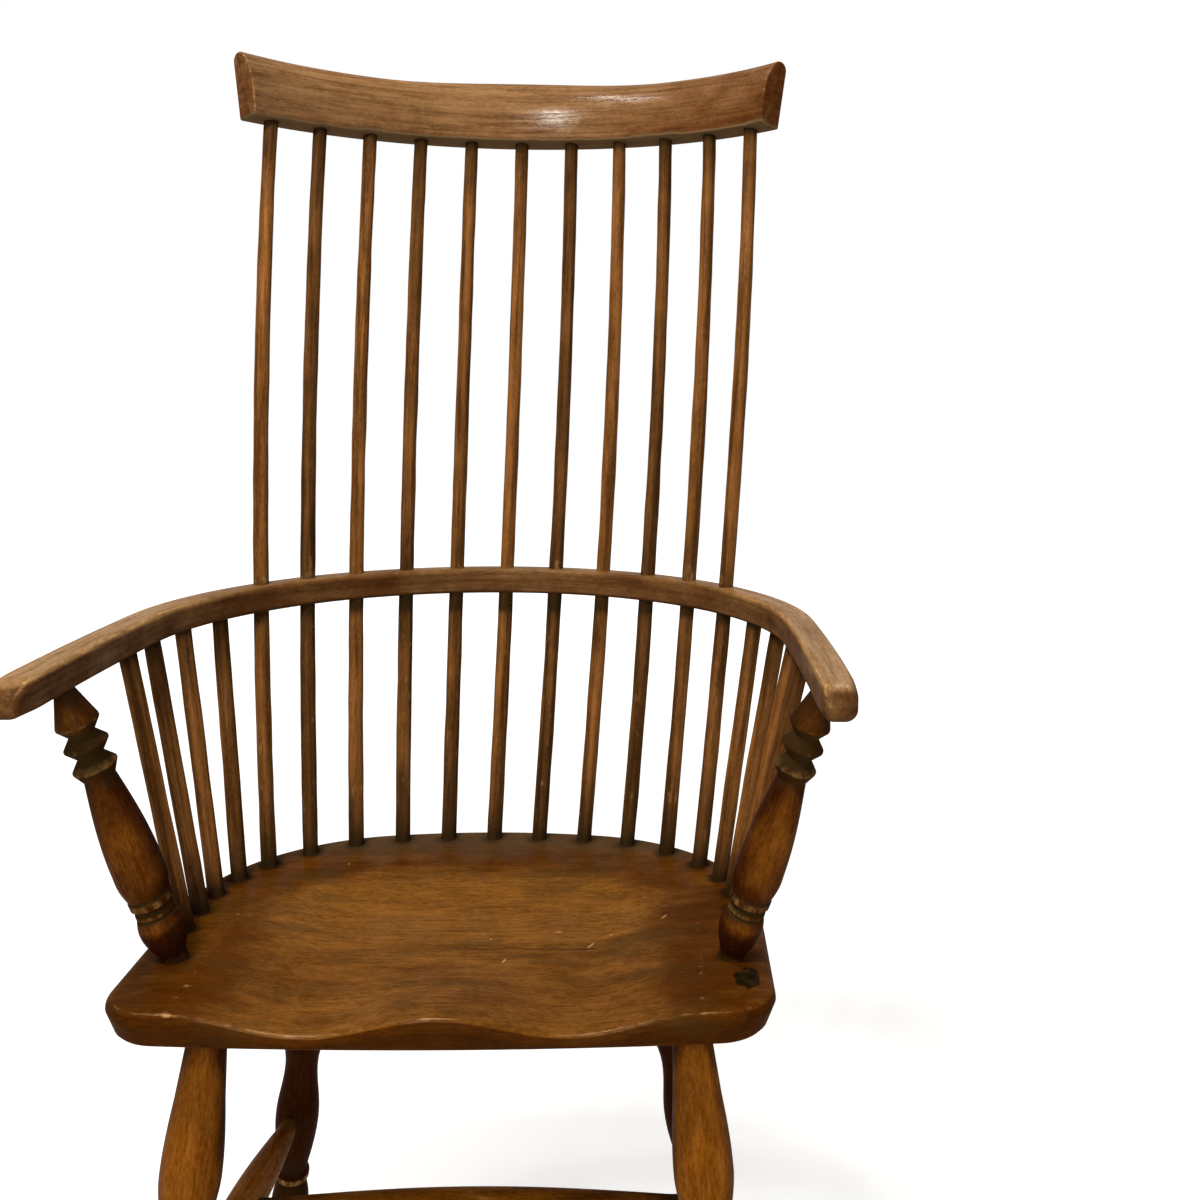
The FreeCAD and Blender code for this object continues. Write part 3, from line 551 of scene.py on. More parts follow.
for end in ("front", "rear"):
    for side in ("left", "right"):
        node = f"leg_{end}_{side}"
        points = solid_points(node)
        on_floor = points[points[:, 2] < 0.0005]
        foot = (on_floor.min(0) + on_floor.max(0)) / 2
        head = stick_points(node)[2]
        whole = np.linalg.norm(head - foot)
        slant = whole / (head[2] - foot[2])
        swell = leg_socket + (underside - stretcher_height) * slant
        collar = whole - collar_height
        bulb = whole - bulb_height
        belly = leg_socket + belly_drop
        # The rear legs are painted darker than the front ones, as the shade under the seat
        handled = 0.85 if end == "front" else 0.45
        stations = [
            (0, leg_head, "straight"),
            (leg_taper, leg_neck, "straight"),
            (leg_socket + shoulder_drop, leg_shoulder, "straight"),
            (belly, leg_belly, "rise"),
            ((belly + swell) / 2, leg_waist, "ease"),
            (swell, leg_swell, "ease"),
            (collar - collar_width, leg_groove, "fall"),
            (collar, leg_collar, "straight"),
            (collar + collar_width, leg_collar, "straight"),
            (collar + 2 * collar_width, leg_groove, "straight"),
            (bulb, leg_bulb, "rise"),
            (whole - foot_easing, leg_foot, "ease"),
            (whole, leg_sole, "rise"),
        ]
        # Round each leg, painted light and shade: the front legs lighter in front, the rear legs darker in
        # front
        mesh = turned(
            node, head, foot, stations,
            rubbed=[(0, 0.1), (leg_socket + 0.012, 0.4 * handled), (leg_socket + 0.04, handled),
                    (belly, handled), (swell, 0.6), (collar, 0.4), (bulb, 0.6), (whole, 0.3)],
            grime=[(0, 1), (leg_socket, 0.9), (leg_socket + 0.018, 0.25), (belly, 0),
                   (swell - 0.02, 0.1), (swell, 0.45), (swell + 0.02, 0.1), (collar - 0.008, 0.7),
                   (collar, 0.1), (collar + 0.012, 0.7), (bulb, 0), (whole - 0.01, 0.2), (whole, 0.9)],
            worn=[(collar - 0.001, 0), (collar, 0.6), (collar + collar_width, 0.6), (collar + 0.007, 0),
                  (bulb - 0.02, 0), (bulb, 0.3), (whole - 0.01, 0.1)],
            painted_light=0.8, faces=-1 if end == "front" else 1, to_floor=bulb)
        set_in_place(mesh, node, turned_wood)


# Stretchers: turned rails that swell in the middle and end in tenons. Two side ones join the front and
# rear legs, and one across is let into the middles of the side ones.

tenon_length = 0.02
side_swell = 0.031
side_tenon = 0.016
cross_swell = 0.029
cross_tenon = 0.015

for node, swell, tenon in (("side_stretcher_left", side_swell, side_tenon),
                           ("side_stretcher_right", side_swell, side_tenon),
                           ("cross_stretcher", cross_swell, cross_tenon)):
    start, _, end = stick_points(node)
    whole = np.linalg.norm(end - start)
    stations = [
        (0, tenon, "straight"),
        (tenon_length, tenon, "straight"),
        (whole / 2, swell, "rise"),
        (whole - tenon_length, tenon, "fall"),
        (whole, tenon, "straight"),
    ]
    mesh = turned(
        node, start, end, stations,
        rubbed=[(0, 0.1), (0.05, 0.45), (whole / 2, 0.8), (whole - 0.05, 0.45), (whole, 0.1)],
        grime=[(0, 1), (0.014, 0.9), (0.035, 0.1), (whole - 0.035, 0.1), (whole - 0.014, 0.9),
               (whole, 1)],
        worn=[(whole * 0.3, 0), (whole / 2, 0.35), (whole * 0.7, 0)])
    set_in_place(mesh, node, turned_wood)


# Arm posts: stout turned posts of beech that lean out and carry the arms. From the seat up: a bulb, two
# fine beads between grooves, a belly, three sharp rings with coves between them, and a round tenon into
# the arm.

post_socket = 0.022
post_tenon = 0.015
tenon_thickness = 0.014
neck_drop = 0.0735
low_ring_drop = 0.064
ring_gap = 0.018
cone_drop = 0.028
ring_land = 0.001
ring_thickness = 0.0322
cove_thickness = 0.0185


def moved(start, table):
    """A table whose places count from a point on a stick, moved to count from the stick's end."""
    return [(start + place, *rest) for place, *rest in table]


for node in ("arm_post_left", "arm_post_right"):
    foot, _, head = stick_points(node)
    whole = np.linalg.norm(head - foot)
    arm_line = whole - post_tenon
    low_ring = arm_line - low_ring_drop
    high_ring = low_ring + ring_gap
    cone = arm_line - cone_drop
    low_cove = (low_ring + high_ring) / 2
    high_cove = (high_ring + cone) / 2
    stations = [(0, 0.017, "straight")]
    stations += moved(post_socket, [
        (0.006, 0.020, "straight"),
        (0.030, 0.034, "rise"),
        (0.040, 0.0305, "fall"),
        (0.0412, 0.0275, "straight"),
        (0.043, 0.0295, "straight"),
        (0.046, 0.0295, "straight"),
        (0.0472, 0.0265, "straight"),
        (0.049, 0.0268, "straight"),
        (0.0515, 0.0322, "straight"),
        (0.057, 0.0326, "straight"),
        (0.058, 0.0310, "straight"),
        (0.0765, 0.0376, "rise"),
        (0.0845, 0.0374, "ease"),
    ])
    stations += [
        (arm_line - neck_drop, 0.0228, "fall"),
        (low_ring - ring_land / 2, ring_thickness, "straight"),
        (low_ring + ring_land / 2, ring_thickness, "straight"),
        (low_cove, cove_thickness, "straight"),
        (high_ring - ring_land / 2, ring_thickness, "straight"),
        (high_ring + ring_land / 2, ring_thickness, "straight"),
        (high_cove, cove_thickness, "straight"),
        (cone - ring_land / 2, 0.0315, "straight"),
        (cone + ring_land, 0.0312, "straight"),
        (arm_line - 0.004, 0.016, "straight"),
        (arm_line, tenon_thickness, "straight"),
        (whole, tenon_thickness, "straight"),
    ]
    rubbed = moved(post_socket, [(0, 0), (0.026, 0), (0.034, 0.4), (0.05, 0.2), (0.062, 0.3),
                                 (0.078, 0.46), (0.11, 0.44)])
    rubbed += [(arm_line - 0.085, 0.3), (low_ring, 0.1), (cone, 0.3), (arm_line, 0.2)]
    grime = [(0, 1)]
    grime += moved(post_socket, [(0, 0.9), (0.005, 0.35), (0.012, 0.1), (0.03, 0), (0.039, 0.3),
                                 (0.0412, 0.95), (0.0445, 0.4), (0.048, 0.95), (0.052, 0.35),
                                 (0.0565, 0.4), (0.058, 0.9), (0.063, 0.1)])
    grime += [(arm_line - 0.09, 0.05), (arm_line - neck_drop, 0.6), (low_ring, 0.65), (low_cove, 1),
              (high_ring, 0.6), (high_cove, 1), (cone, 0.5), (cone + 0.01, 0.48),
              (arm_line - 0.004, 0.6), (arm_line, 0.9), (whole, 1)]
    worn = moved(post_socket, [(0, 0), (0.003, 0.35), (0.006, 0), (0.0415, 0), (0.043, 0.42),
                               (0.046, 0.4), (0.0472, 0), (0.0505, 0), (0.052, 0.42), (0.0565, 0.42),
                               (0.058, 0)])
    worn += moved(low_ring, [(-0.002, 0.1), (0, 0.65), (0.004, 0.5), (0.007, 0)])
    worn += moved(high_ring, [(-0.002, 0), (0, 0.3), (0.003, 0.2), (0.005, 0)])
    worn += moved(cone, [(-0.002, 0), (0, 0.4), (0.002, 0.1), (0.004, 0)])
    # Painted light and shade round the post: lighter in front, darker at the sides and back
    mesh = turned(node, foot, head, stations, rubbed, grime, worn, painted_light=0.4)
    set_in_place(mesh, node, turned_wood)


# Spindles: sticks of ash shaved by hand, so none is quite round or even. Eleven long ones stand in the
# seat, pass through the arm bow and end in the comb, and four short ones stand under each arm.

spindle_thickness = 0.014
spindle_unevenness = 0.07
swells_per_metre = 11.0
shaves_per_metre = 14.0
shave_depth = 0.2
stick_steps = 150
stick_around = 22
seat_socket = 0.024
bow_socket = 0.015
comb_socket = 0.026
bow_low, bow_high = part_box("arm_bow")

spindle_wood = varnished(*old_wood(
    "old_shaved_ash", varnish=((48, 30, 13), (84, 54, 26)), rubbed=((72, 41, 14), (134, 86, 40)),
    bare=(190, 148, 94), dirt=(36, 26, 12), blur=0.3, streaks=0.6, softness=0.12))


def shaved_stick_tree():
    """Node tree for one shaved stick: a gentle curve from foot to head, a little uneven in thickness."""
    tree = bpy.data.node_groups.new("shaved_stick", "GeometryNodeTree")
    sockets = (("Foot", "NodeSocketVector"), ("Bend", "NodeSocketVector"), ("Head", "NodeSocketVector"),
               ("Thickness", "NodeSocketFloat"), ("Unevenness", "NodeSocketFloat"),
               ("Seed", "NodeSocketFloat"), ("Wood", "NodeSocketMaterial"))
    for label, kind in sockets:
        tree.interface.new_socket(name=label, in_out="INPUT", socket_type=kind)
    tree.interface.new_socket(name="Geometry", in_out="OUTPUT", socket_type="NodeSocketGeometry")
    start = Wire(tree)
    given = tree.nodes.new("NodeGroupInput").outputs
    foot, bend, head, thickness, unevenness, seed, wood = (Wire(tree, given[label]) for label, _ in sockets)

    def stored(geometry, label, kind, value):
        return start.node("GeometryNodeStoreNamedAttribute", {"data_type": kind, "domain": "POINT"},
                          {"Geometry": geometry, "Name": label, "Value": value})

    def read(label, kind):
        return start.node("GeometryNodeInputNamedAttribute", {"data_type": kind}, {"Name": label})

    # The middle line, and how much thicker or thinner the stick is at each place along it
    path = start.node("GeometryNodeCurveQuadraticBezier", None,
                      {"Resolution": stick_steps, "Start": foot, "Middle": bend, "End": head})
    length = start.node("GeometryNodeSplineParameter", None, None, "Length")
    path = stored(path, "along", "FLOAT", length)
    swell_at = start.node("ShaderNodeCombineXYZ", None, {0: length * swells_per_metre, 1: seed})
    swell = start.node("ShaderNodeTexNoise", None, {"Vector": swell_at, "Scale": 1.0, "Detail": 1.0})
    swell = (swell - 0.5) * unevenness + 0.5

    # The stick itself, with the grain's place at every point of it
    ring = start.node("GeometryNodeCurvePrimitiveCircle", None, {"Resolution": stick_around, "Radius": 1.0})
    ring = stored(ring, "across", "FLOAT_VECTOR", start.node("GeometryNodeInputPosition"))
    stick = start.node("GeometryNodeCurveToMesh", None, {"Curve": path, "Profile Curve": ring,
                                                         "Fill Caps": True, "Scale": swell * thickness})
    around = read("across", "FLOAT_VECTOR")
    across, upward = (start.node("ShaderNodeSeparateXYZ", None, {0: around}, part) for part in range(2))
    along = read("along", "FLOAT")
    half = thickness * 0.5
    grain = start.node("ShaderNodeCombineXYZ", None, {0: across * half + seed, 1: upward * half, 2: along})
    stick = stored(stick, "grain", "FLOAT_VECTOR", grain)

    # Shallow shaves of the knife, in and out along the stick
    shave_at = start.node("ShaderNodeCombineXYZ", None,
                          {0: across + seed, 1: upward, 2: along * shaves_per_metre})
    shave = start.node("ShaderNodeTexNoise", None, {"Vector": shave_at, "Scale": 1.3, "Detail": 1.0}) - 0.5
    shaved = start.node("ShaderNodeVectorMath", {"operation": "SCALE"},
                        {0: start.node("GeometryNodeInputNormal"), "Scale": shave * (half * shave_depth)})
    stick = start.node("GeometryNodeSetPosition", None, {"Geometry": stick, "Offset": shaved})
    stick = start.node("GeometryNodeSetShadeSmooth", None, {"Geometry": stick})
    stick = start.node("GeometryNodeRealizeInstances", None, {"Geometry": stick})
    stick = start.node("GeometryNodeSetMaterial", None, {"Geometry": stick, "Material": wood})
    tree.links.new(stick.socket, tree.nodes.new("NodeGroupOutput").inputs["Geometry"])
    return tree


stick_tree = shaved_stick_tree()
stick_inputs = {item.name: item.identifier for item in stick_tree.interface.items_tree
                if item.in_out == "INPUT"}


def shaved_stick(node, seed, finish_tables):
    """One spindle in the place of its solid, with its wear and dirt set along its length."""
    foot, halfway, head = stick_points(node)
    whole = np.linalg.norm(halfway - foot) + np.linalg.norm(head - halfway)
    share = np.linalg.norm(halfway - foot) / whole
    bend = (foot + head) / 2
    if 0.2 < share < 0.8:
        bend = (halfway - (1 - share) ** 2 * foot - share ** 2 * head) / (2 * share * (1 - share))
    maker = bpy.data.objects.new(f"{node}_maker", bpy.data.meshes.new(f"{node}_start"))
    scene.collection.objects.link(maker)
    modifier = maker.modifiers.new("shaving", "NODES")
    modifier.node_group = stick_tree
    values = {"Foot": foot.tolist(), "Bend": bend.tolist(), "Head": head.tolist(),
              "Thickness": spindle_thickness, "Unevenness": spindle_unevenness, "Seed": float(seed),
              "Wood": spindle_wood}
    for label, value in values.items():
        modifier[stick_inputs[label]] = value
    graph = bpy.context.evaluated_depsgraph_get()
    mesh = bpy.data.meshes.new_from_object(maker.evaluated_get(graph))
    maker.modifiers.remove(modifier)
    bpy.data.objects.remove(maker)
    mesh.name = f"{node}_stick"
    grain = np.zeros(len(mesh.vertices) * 3)
    mesh.attributes["grain"].data.foreach_get("vector", grain)
    for label, table in finish_tables(whole).items():
        attribute = mesh.attributes.new(label, "FLOAT", "POINT")
        handled = 0.2 * math.sin(seed) if label == "rubbed" else 0
        attribute.data.foreach_set("value", along_stick(grain[2::3], table) + handled)
    set_in_place(mesh, node, spindle_wood)


bow_line = (bow_low.z - deck) * 1.01 + seat_socket
bow_top = bow_line + bow_high.z - bow_low.z
foot_grime = [(0, 1), (0.01, 0.6), (0.05, 0)]


def long_finish(whole):
    """Wear and dirt along a long spindle, from its end in the seat."""
    comb_line = whole - comb_socket
    rubbed = moved(seat_socket, [(0, 0), (0.08, 0.45)])
    rubbed += moved(bow_line, [(-0.07, 0.55), (0, 0.3)])
    rubbed += moved(bow_top, [(0, 0.3), (0.08, 0.55)])
    rubbed += moved(comb_line, [(-0.12, 0.55), (0, 0.25)])
    grime = moved(seat_socket, foot_grime)
    grime += moved(bow_line, [(-0.02, 0), (-0.005, 0.5), (0, 1)])
    grime += moved(bow_top, [(0, 1), (0.006, 0.5), (0.03, 0)])
    grime += moved(comb_line, [(-0.04, 0), (-0.01, 0.5), (0, 1)])
    worn = moved(bow_top, [(0, 0.2), (0.008, 0.4), (0.016, 0.3), (0.04, 0)])
    return {"rubbed": rubbed, "grime": grime, "worn": worn}


def short_finish(whole):
    """Wear and dirt along a short spindle, from its end in the seat."""
    arm_line = whole - bow_socket
    rubbed = moved(seat_socket, [(0, 0.2), (0.06, 0.8)]) + moved(arm_line, [(-0.08, 0.7), (0, 0.25)])
    grime = moved(seat_socket, foot_grime) + moved(arm_line, [(-0.04, 0), (-0.01, 0.45), (0, 1)])
    return {"rubbed": rubbed, "grime": grime, "worn": [(0, 0), (whole, 0)]}


for seed, node in enumerate(standing[:-2]):
    shaved_stick(node, seed * 3.7 + 1, long_finish if node.startswith("long") else short_finish)


# Arm bow: one stick of ash, steamed and bent round a form, that is both arms and the back rail. Its edges
# are eased, and hands have worn the inner top arris pale and rounded the noses of the arms.

bow_thickness = 0.025
bow_depth = bow_high.z - bow_low.z
bow_rounding = 0.0035
inner_rounding = 0.0055
bow_radius = 0.2725
bow_centre = bow_high.y - bow_thickness / 2 - bow_radius
arm_flare = math.radians(0.85)
arm_curl = math.radians(2)
bow_bend = math.pi / 2 - arm_flare - arm_curl
arm_length = 0.2343 + bow_radius * arm_curl
arm_radius = arm_length / (2 * arm_curl)
bow_reach = bow_radius * bow_bend + arm_length
bow_around = 44
bow_sections = 150
nose_sections = 18
nose_gap = 0.00002
nose_radius = 0.014
nose_corner = 0.005
nose_inset = 0.010
nose_drop = 0.0105
nose_top_radius = 0.019
nose_rise = 0.0065
nose_low_radius = 0.010
nose_rounding = 0.005
nose_slope_length = 0.026
nose_slope_drop = 0.003
arm_start = 0.2
arm_full = 0.4
waver_depth = 0.0008
wavers_per_metre = 9


def bow_path(distance):
    """The bow's middle line seen from above, and its outward direction, at a distance from the back. The
    arms go on bending in a much wider curve than the back."""
    far = np.abs(distance)
    tight = np.minimum(far / bow_radius, bow_bend)
    wide = np.clip(far - bow_radius * bow_bend, 0, None) / arm_radius
    back_point, back_out = circle_point(0, bow_centre, bow_radius, tight)
    arm_point, out = circle_point(0, 0, arm_radius, tight + wide)
    point = back_point + arm_point - arm_radius * back_out
    mirror = np.column_stack([np.where(distance < 0, -1, 1), np.ones(len(distance))])
    return point * mirror, out * mirror


def eased_box(half_wide, half_high, roundings, count):
    """Points round a box section with its four corners rounded, from the outer top corner towards the
    inner one. Returns places across and up, one row for each section."""
    corners = ((1, 1), (-1, 1), (-1, -1), (1, -1))
    each = count // 4
    wide = []
    high = []
    for index, (across, up) in enumerate(corners):
        turn = np.linspace(0, math.pi / 2, each) + index * math.pi / 2
        r = roundings[index]
        wide.append(across * (half_wide[:, None] - r) + r * np.cos(turn))
        high.append(up * (half_high[:, None] - r) + r * np.sin(turn))
    return np.concatenate(wide, 1), np.concatenate(high, 1)


# Sections lie evenly along the bow and closer together towards the noses, where the last is all but flat
plain_run = np.linspace(0, bow_reach - nose_top_radius, bow_sections)[1:-1]
nose_turn = np.linspace(0, math.pi / 2, nose_sections)[:-1]
nose_run = bow_reach - nose_top_radius * (1 - np.sin(nose_turn))
right_run = np.concatenate([plain_run, nose_run, [bow_reach - nose_gap]])
bow_run = np.concatenate([-right_run[::-1], [0], right_run])
from_end = bow_reach - np.abs(bow_run)
middle_line, bow_out = bow_path(bow_run)


def rounded_off(radius):
    """0 along the bow, rising to 1 at its end as a quarter circle of this radius does."""
    return 1 - np.sqrt(np.clip(1 - np.clip(1 - from_end / radius, 0, None) ** 2, 0, None))


outer = bow_thickness / 2 - nose_inset * rounded_off(nose_radius)
inner = -bow_thickness / 2 + nose_corner * rounded_off(nose_corner)
top = bow_depth / 2 - nose_drop * rounded_off(nose_top_radius)
bottom = -bow_depth / 2 + nose_rise * rounded_off(nose_low_radius)
half_wide = (outer - inner) / 2
half_high = (top - bottom) / 2
softer = nose_rounding * smooth(1 - from_end / (3 * nose_radius))
roundings = np.array([bow_rounding, inner_rounding, bow_rounding, bow_rounding])[:, None] + softer
roundings = np.minimum(roundings, 0.96 * np.minimum(half_wide, half_high))[..., None]
across, up = eased_box(half_wide, half_high, roundings, bow_around)
from_inner = across + half_wide[:, None]
from_outer = half_wide[:, None] - across
from_top = half_high[:, None] - up
slope = np.clip(1 - from_end / nose_slope_length, 0, 1)[:, None]
up = up - nose_slope_drop * slope * np.clip(up / half_high[:, None], 0, 1)
across = across + (outer + inner)[:, None] / 2
up = up + (top + bottom)[:, None] / 2
on_arm = smooth((np.abs(bow_run) - arm_start) / (arm_full - arm_start))[:, None]
waver = np.array([noise.noise(Vector((place * wavers_per_metre, 3.1, 0))) for place in bow_run])
aside = across + waver_depth * waver[:, None] * (1 - on_arm)
bow_rings = np.concatenate([middle_line[:, None] + bow_out[:, None] * aside[..., None],
                            (bow_low.z + bow_depth / 2 + up)[..., None]], -1)

# Pale arrises along the top, most at the inner side of the arms, a pale crease at the top of each nose,
# polish and a painted sheen on top of the arms, and dirt underneath and on the noses
inner_top = bell((from_inner - 0.0028) / 0.0018) * bell((from_top - 0.0028) / 0.0026)
outer_top = bell((from_outer - 0.002) / 0.002) * bell((from_top - 0.002) / 0.003)
crease = bell((from_end - nose_top_radius) / 0.0015)[:, None]
crease = crease * (from_top < 0.002) * bell(from_inner / 0.008)
is_underside = smooth((-up - 0.008) / 0.003)
facing_up = smooth((up - 0.007) / 0.003)
facing_in = smooth((-across - 0.009) / 0.003)
blunted = softer[:, None] / nose_rounding
bow_finish = {
    "grain": np.stack([across, up + 2, 0 * up + bow_run[:, None]], -1),
    # On top of the arms the lighter colour is polish and a painted sheen together
    "rubbed": 0.5 - 0.2 * facing_in + 0.4 * on_arm * facing_up - 0.3 * is_underside - 0.2 * blunted,
    "worn": inner_top * (0.3 + 0.6 * on_arm) * (1 - 0.5 * blunted) + 0.15 * outer_top + 0.8 * crease,
    "grime": 0.55 * is_underside + 0.4 * blunted,
}
bent_wood = varnished(*old_wood(
    "old_bent_ash", varnish=((56, 31, 12), (94, 58, 28)), rubbed=((96, 64, 30), (152, 115, 70)),
    bare=(190, 144, 94), dirt=(80, 62, 40), blur=0.2, streaks=0.4, softness=0.17), shine=0.28)
set_in_place(skin("arm_bow_stick", bow_rings, bow_finish), "arm_bow", bent_wood)


# Comb: a thick board of elm, steamed and bent, rounded over at the top and left square below, with the
# heads of the eleven long spindles in its underside. Knocks have chipped its lower front arris.

comb_bend = 0.34
comb_setback = 0.3053
comb_foot = 1.123
comb_end_rise = 0.0055
comb_crown = 0.005
comb_lean = math.radians(16)
comb_length = 0.604
comb_reach = comb_length / 2
comb_face = 0.069
comb_thickness = 0.025
front_rounding = 0.015
shoulder_height = 0.040
back_rounding = 0.0085
low_rounding = 0.0012
face_crown = 0.002
end_rounding = 0.0025
chips_per_metre = 38
chip_depth = 0.0045
chip_reach = 0.0045
nicks_per_metre = 140
nick_depth = 0.0006
comb_around = 80
comb_sections = 190
corner_points = 14
end_sections = 6


def comb_outline(distance, shrink):
    """The comb's section at a distance from its middle, as places back and up from its front lower corner,
    drawn in by a margin. The middle of the comb is crowned."""
    crown = comb_crown * (1 + math.cos(math.pi * min(1, 4 * abs(distance) / comb_length))) / 2
    wide = comb_thickness - 2 * shrink
    high = comb_face + crown - 2 * shrink
    corners = [(0, high, front_rounding, shoulder_height, math.pi, math.pi / 2),
               (wide, high, back_rounding, back_rounding, math.pi / 2, 0),
               (wide, 0, low_rounding, low_rounding, 0, -math.pi / 2),
               (0, 0, low_rounding, low_rounding, -math.pi / 2, -math.pi)]
    points = []
    for back, tall, deep, rise, start, end in corners:
        turn = np.linspace(start, end, corner_points)
        inner_back = back + (deep if back == 0 else -deep)
        inner_tall = tall + (rise if tall == 0 else -rise)
        points.append(np.stack([inner_back + deep * np.cos(turn), inner_tall + rise * np.sin(turn)], -1))
    loop = np.concatenate(points + [points[0][:1]])
    steps = np.linalg.norm(np.diff(loop, axis=0), axis=1)
    run = np.concatenate([[0], np.cumsum(steps)])
    # Points lie closer together round the corners than along the flat faces
    corner_pull = 0.0009
    pull = np.concatenate([[0], np.cumsum(corner_pull + steps)])
    even = np.linspace(0, pull[-1], comb_around, endpoint=False)
    places = np.interp(even, pull, run)
    outline = np.stack([np.interp(places, run, column) for column in loop.T], -1)
    towards_front = smooth(1 - 2 * outline[:, 0] / comb_thickness)
    outline[:, 0] -= face_crown * (1 - (2 * outline[:, 1] / high - 1) ** 2) * towards_front
    return outline + shrink


end_turn = np.linspace(0, math.pi / 2, end_sections)
end_run = comb_reach - end_rounding * (1 - np.sin(end_turn))
right_run = np.concatenate([np.linspace(0, comb_reach - end_rounding, comb_sections)[1:-1], end_run])
comb_run = np.concatenate([-right_run[::-1], [0], right_run])
comb_rings = []
comb_places = []
for distance in comb_run:
    turn = distance / comb_bend
    short = max(0.0, end_rounding - (comb_reach - abs(distance)))
    shrink = end_rounding - math.sqrt(max(0.0, end_rounding ** 2 - short ** 2))
    places = comb_outline(distance, shrink)
    chip = max(0.0, noise.noise(Vector((distance * chips_per_metre, 0.7, 0))) - 0.12) * chip_depth
    chip += max(0.0, noise.noise(Vector((distance * nicks_per_metre, 5.2, 0)))) * nick_depth
    chip = chip * bell(places[:, 0] / chip_reach) * bell(places[:, 1] / chip_reach)
    lean = math.atan(math.tan(comb_lean) * math.cos(turn))
    back = places[:, 0] - comb_thickness / 2 + chip * 0.7
    tall = places[:, 1] + chip
    far = comb_bend + back * math.cos(lean) + tall * math.sin(lean)
    sweep = comb_end_rise * (distance / comb_reach) ** 2
    height = comb_foot + sweep - back * math.sin(lean) + tall * math.cos(lean)
    centre = comb_setback - comb_bend
    comb_rings.append(np.column_stack([far * math.sin(turn), centre + far * math.cos(turn), height]))
    comb_places.append(np.column_stack([places, np.full(comb_around, distance), chip]))
comb_rings = np.array(comb_rings)
back, tall, run, chipped = np.moveaxis(np.array(comb_places), -1, 0)
past_end = np.abs(run) - comb_reach
under = smooth((0.003 - tall) / 0.002)
at_end = smooth((past_end + end_rounding * 0.6) / (end_rounding * 0.3))
end_arris = bell((past_end + end_rounding * 0.7) / (end_rounding * 0.5)) * (back < 0.016)
front_low = bell(back / 0.004) * bell(tall / 0.004)
duller_right = smooth((run - 0.06) / 0.15)
comb_finish = {
    "grain": np.stack([tall, back + 7, run], -1),
    "rubbed": 0.55 + 0.3 * tall / comb_face - 0.3 * duller_right - 0.4 * under - 0.35 * at_end,
    "worn": 0.45 * end_arris + 0.2 * front_low,
    "grime": np.clip(0.7 * under + 0.25 * at_end + chipped / 0.002 + 0.3 * front_low, 0, 1),
}
comb_wood = varnished(*old_wood(
    "old_bent_elm", varnish=((58, 28, 8), (92, 50, 18)), rubbed=((84, 56, 28), (138, 101, 64)),
    bare=(190, 144, 94), dirt=(104, 84, 58), blur=0.2, streaks=0.4, softness=0.15), shine=0.32)
set_in_place(skin("comb_board", comb_rings, comb_finish), "comb", comb_wood)


# Studio: a pale floor, soft lights above the chair at the picture's left, in front and behind, and a
# camera in the photograph's place, close to the chair and a little to the right of its middle.

camera_place = Vector((0.150566, -1.23676, 0.89933))
camera_yaw = math.radians(-1.8662)
camera_pitch = math.radians(2.8830)
camera_roll = math.radians(0.6460)
picture_width = 1200
focal_pixels = 1380.70
centre_pixel = (700.9, 420.0)

ahead = Vector((-math.sin(camera_yaw) * math.cos(camera_pitch),
                math.cos(camera_yaw) * math.cos(camera_pitch),
                -math.sin(camera_pitch)))
level = Vector((math.cos(camera_yaw), math.sin(camera_yaw), 0))
above = level.cross(ahead)
right = level * math.cos(camera_roll) + above * math.sin(camera_roll)
upward = above * math.cos(camera_roll) - level * math.sin(camera_roll)
facing = Matrix((right, upward, -ahead)).transposed().to_4x4()
camera_data = bpy.data.cameras.new("camera")
camera_data.sensor_width = 36
camera_data.lens = focal_pixels / picture_width * camera_data.sensor_width
camera_data.shift_x = 0.5 - centre_pixel[0] / picture_width
camera_data.shift_y = centre_pixel[1] / picture_width - 0.5
camera = bpy.data.objects.new("camera", camera_data)
camera.matrix_world = Matrix.Translation(camera_place) @ facing
scene.collection.objects.link(camera)
scene.camera = camera

floor_reach = 6
floor_corners = [(x * floor_reach, y * floor_reach, 0) for x, y in ((-1, -1), (1, -1), (1, 1), (-1, 1))]
floor_mesh = bpy.data.meshes.new("floor")
floor_mesh.from_pydata(floor_corners, [], [(0, 1, 2, 3)])
floor = bpy.data.objects.new("floor", floor_mesh)
scene.collection.objects.link(floor)
pale = bpy.data.materials.new("pale_floor")
pale.use_nodes = True
floor_wires = Wire(pale.node_tree)
floor_shader = pale.node_tree.nodes["Principled BSDF"]
floor_shader.inputs["Base Color"].default_value = (0.8, 0.8, 0.8, 1)
floor_shader.inputs["Roughness"].default_value = 0.9
floor_shader.inputs["Specular IOR Level"].default_value = 0.1


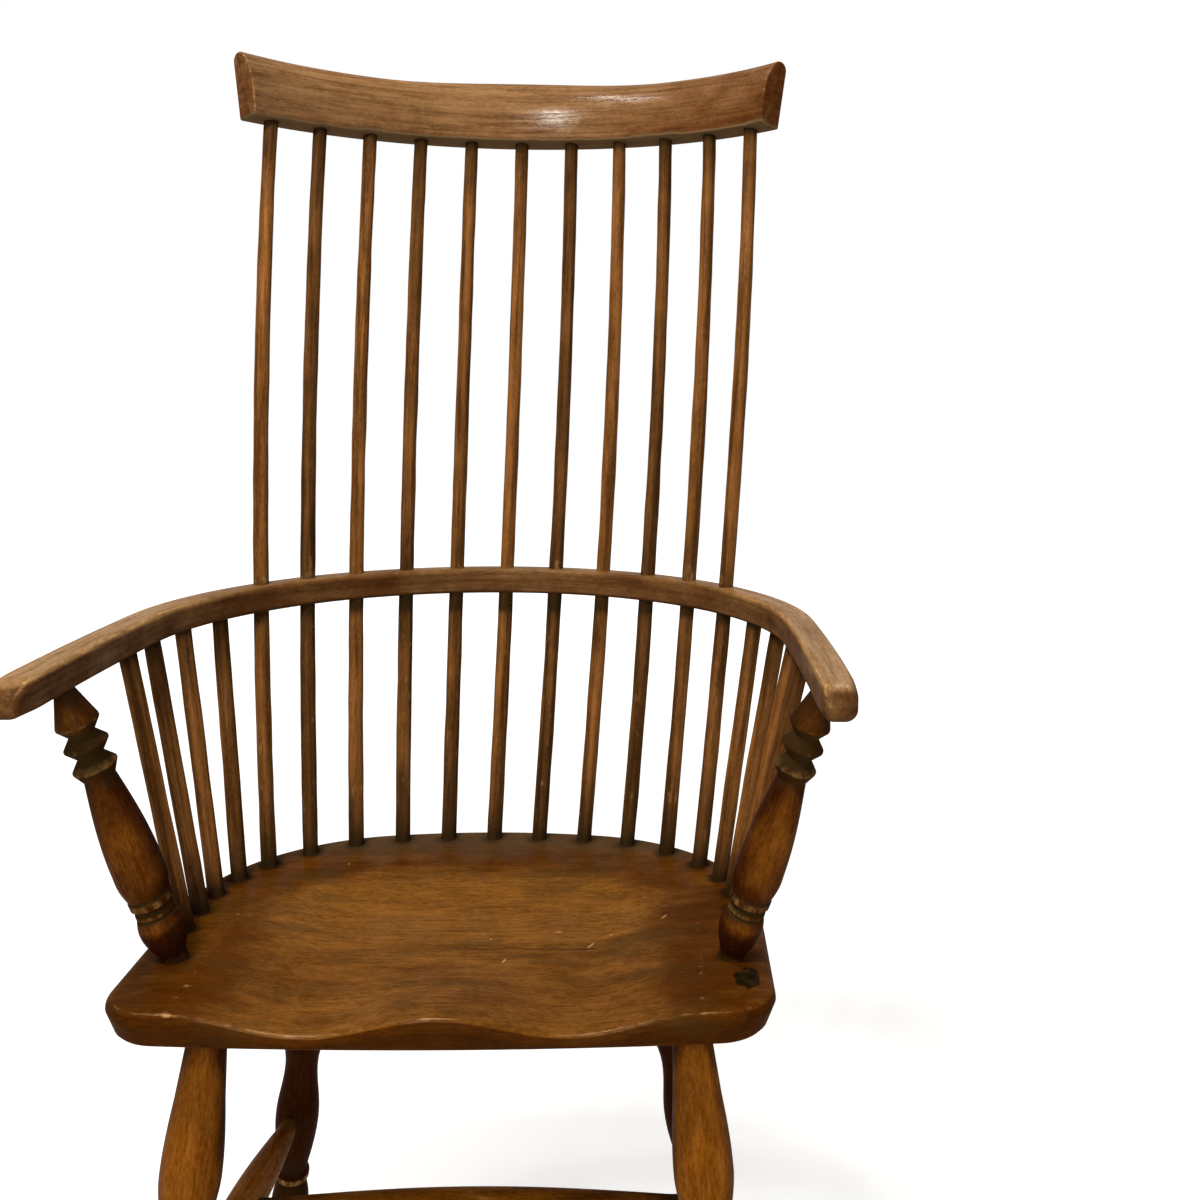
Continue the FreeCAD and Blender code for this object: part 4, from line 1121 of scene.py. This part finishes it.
def looked_at(wires):
    """1 for what the camera sees directly, in a reflection or through glass, 0 for what lights the chair."""
    seen = wires.node("ShaderNodeLightPath", None, None, "Is Camera Ray")
    ways = seen.socket.node.outputs
    mirrored = Wire(wires.tree, ways["Is Glossy Ray"])
    through = Wire(wires.tree, ways["Is Transmission Ray"])
    return seen.math("MINIMUM", seen + mirrored + through, 1.0)


near_glow = 0.45
far_glow = 0.9
on_floor = floor_wires.node("ShaderNodeTexCoord", None, None, "Object")
from_chair = on_floor.node("ShaderNodeVectorMath", {"operation": "LENGTH"}, {0: on_floor}, "Value")
glow = looked_at(floor_wires) * (near_glow + from_chair.between(0.8, 3.5) * (far_glow - near_glow))
own_light = floor_wires.node("ShaderNodeEmission", None, {"Color": (1, 1, 1, 1), "Strength": glow})
both = floor_wires.node("ShaderNodeAddShader", None,
                        {0: Wire(pale.node_tree, floor_shader.outputs[0]), 1: own_light})
pale.node_tree.links.new(both.socket, pale.node_tree.nodes["Material Output"].inputs["Surface"])
floor_mesh.materials.append(pale)

room_light = 0.27
lamp_colour = (1, 0.95, 0.86)
world = bpy.data.worlds.new("studio")
scene.world = world
world.use_nodes = True
brightness = looked_at(Wire(world.node_tree)) * (1 - room_light) + room_light
background = world.node_tree.nodes["Background"]
background.inputs["Color"].default_value = (1, 1, 1, 1)
world.node_tree.links.new(brightness.socket, background.inputs["Strength"])

for name, stand, aim, wide, deep, power in (
        ("window", (-0.52, -1.25, 2.45), (0.0, -0.05, 0.7), 0.26, 0.26, 31),
        ("ceiling", (-0.62, -0.06, 2.6), (0.0, 0.0, 0.7), 0.2, 0.4, 24),
        ("front", (0.1, -2.7, 1.3), (0.0, 0.0, 0.6), 0.8, 0.7, 31),
        ("back", (0.9, 2.4, 2.9), (0.0, 0.0, 0.6), 1.0, 1.0, 22)):
    lamp = bpy.data.lights.new(name, "AREA")
    lamp.shape = "RECTANGLE"
    lamp.size = wide
    lamp.size_y = deep
    lamp.energy = power
    lamp.color = lamp_colour
    light = bpy.data.objects.new(name, lamp)
    light.location = stand
    light.rotation_euler = (Vector(aim) - Vector(stand)).to_track_quat("-Z", "Y").to_euler()
    scene.collection.objects.link(light)

scene.view_settings.view_transform = "Standard"
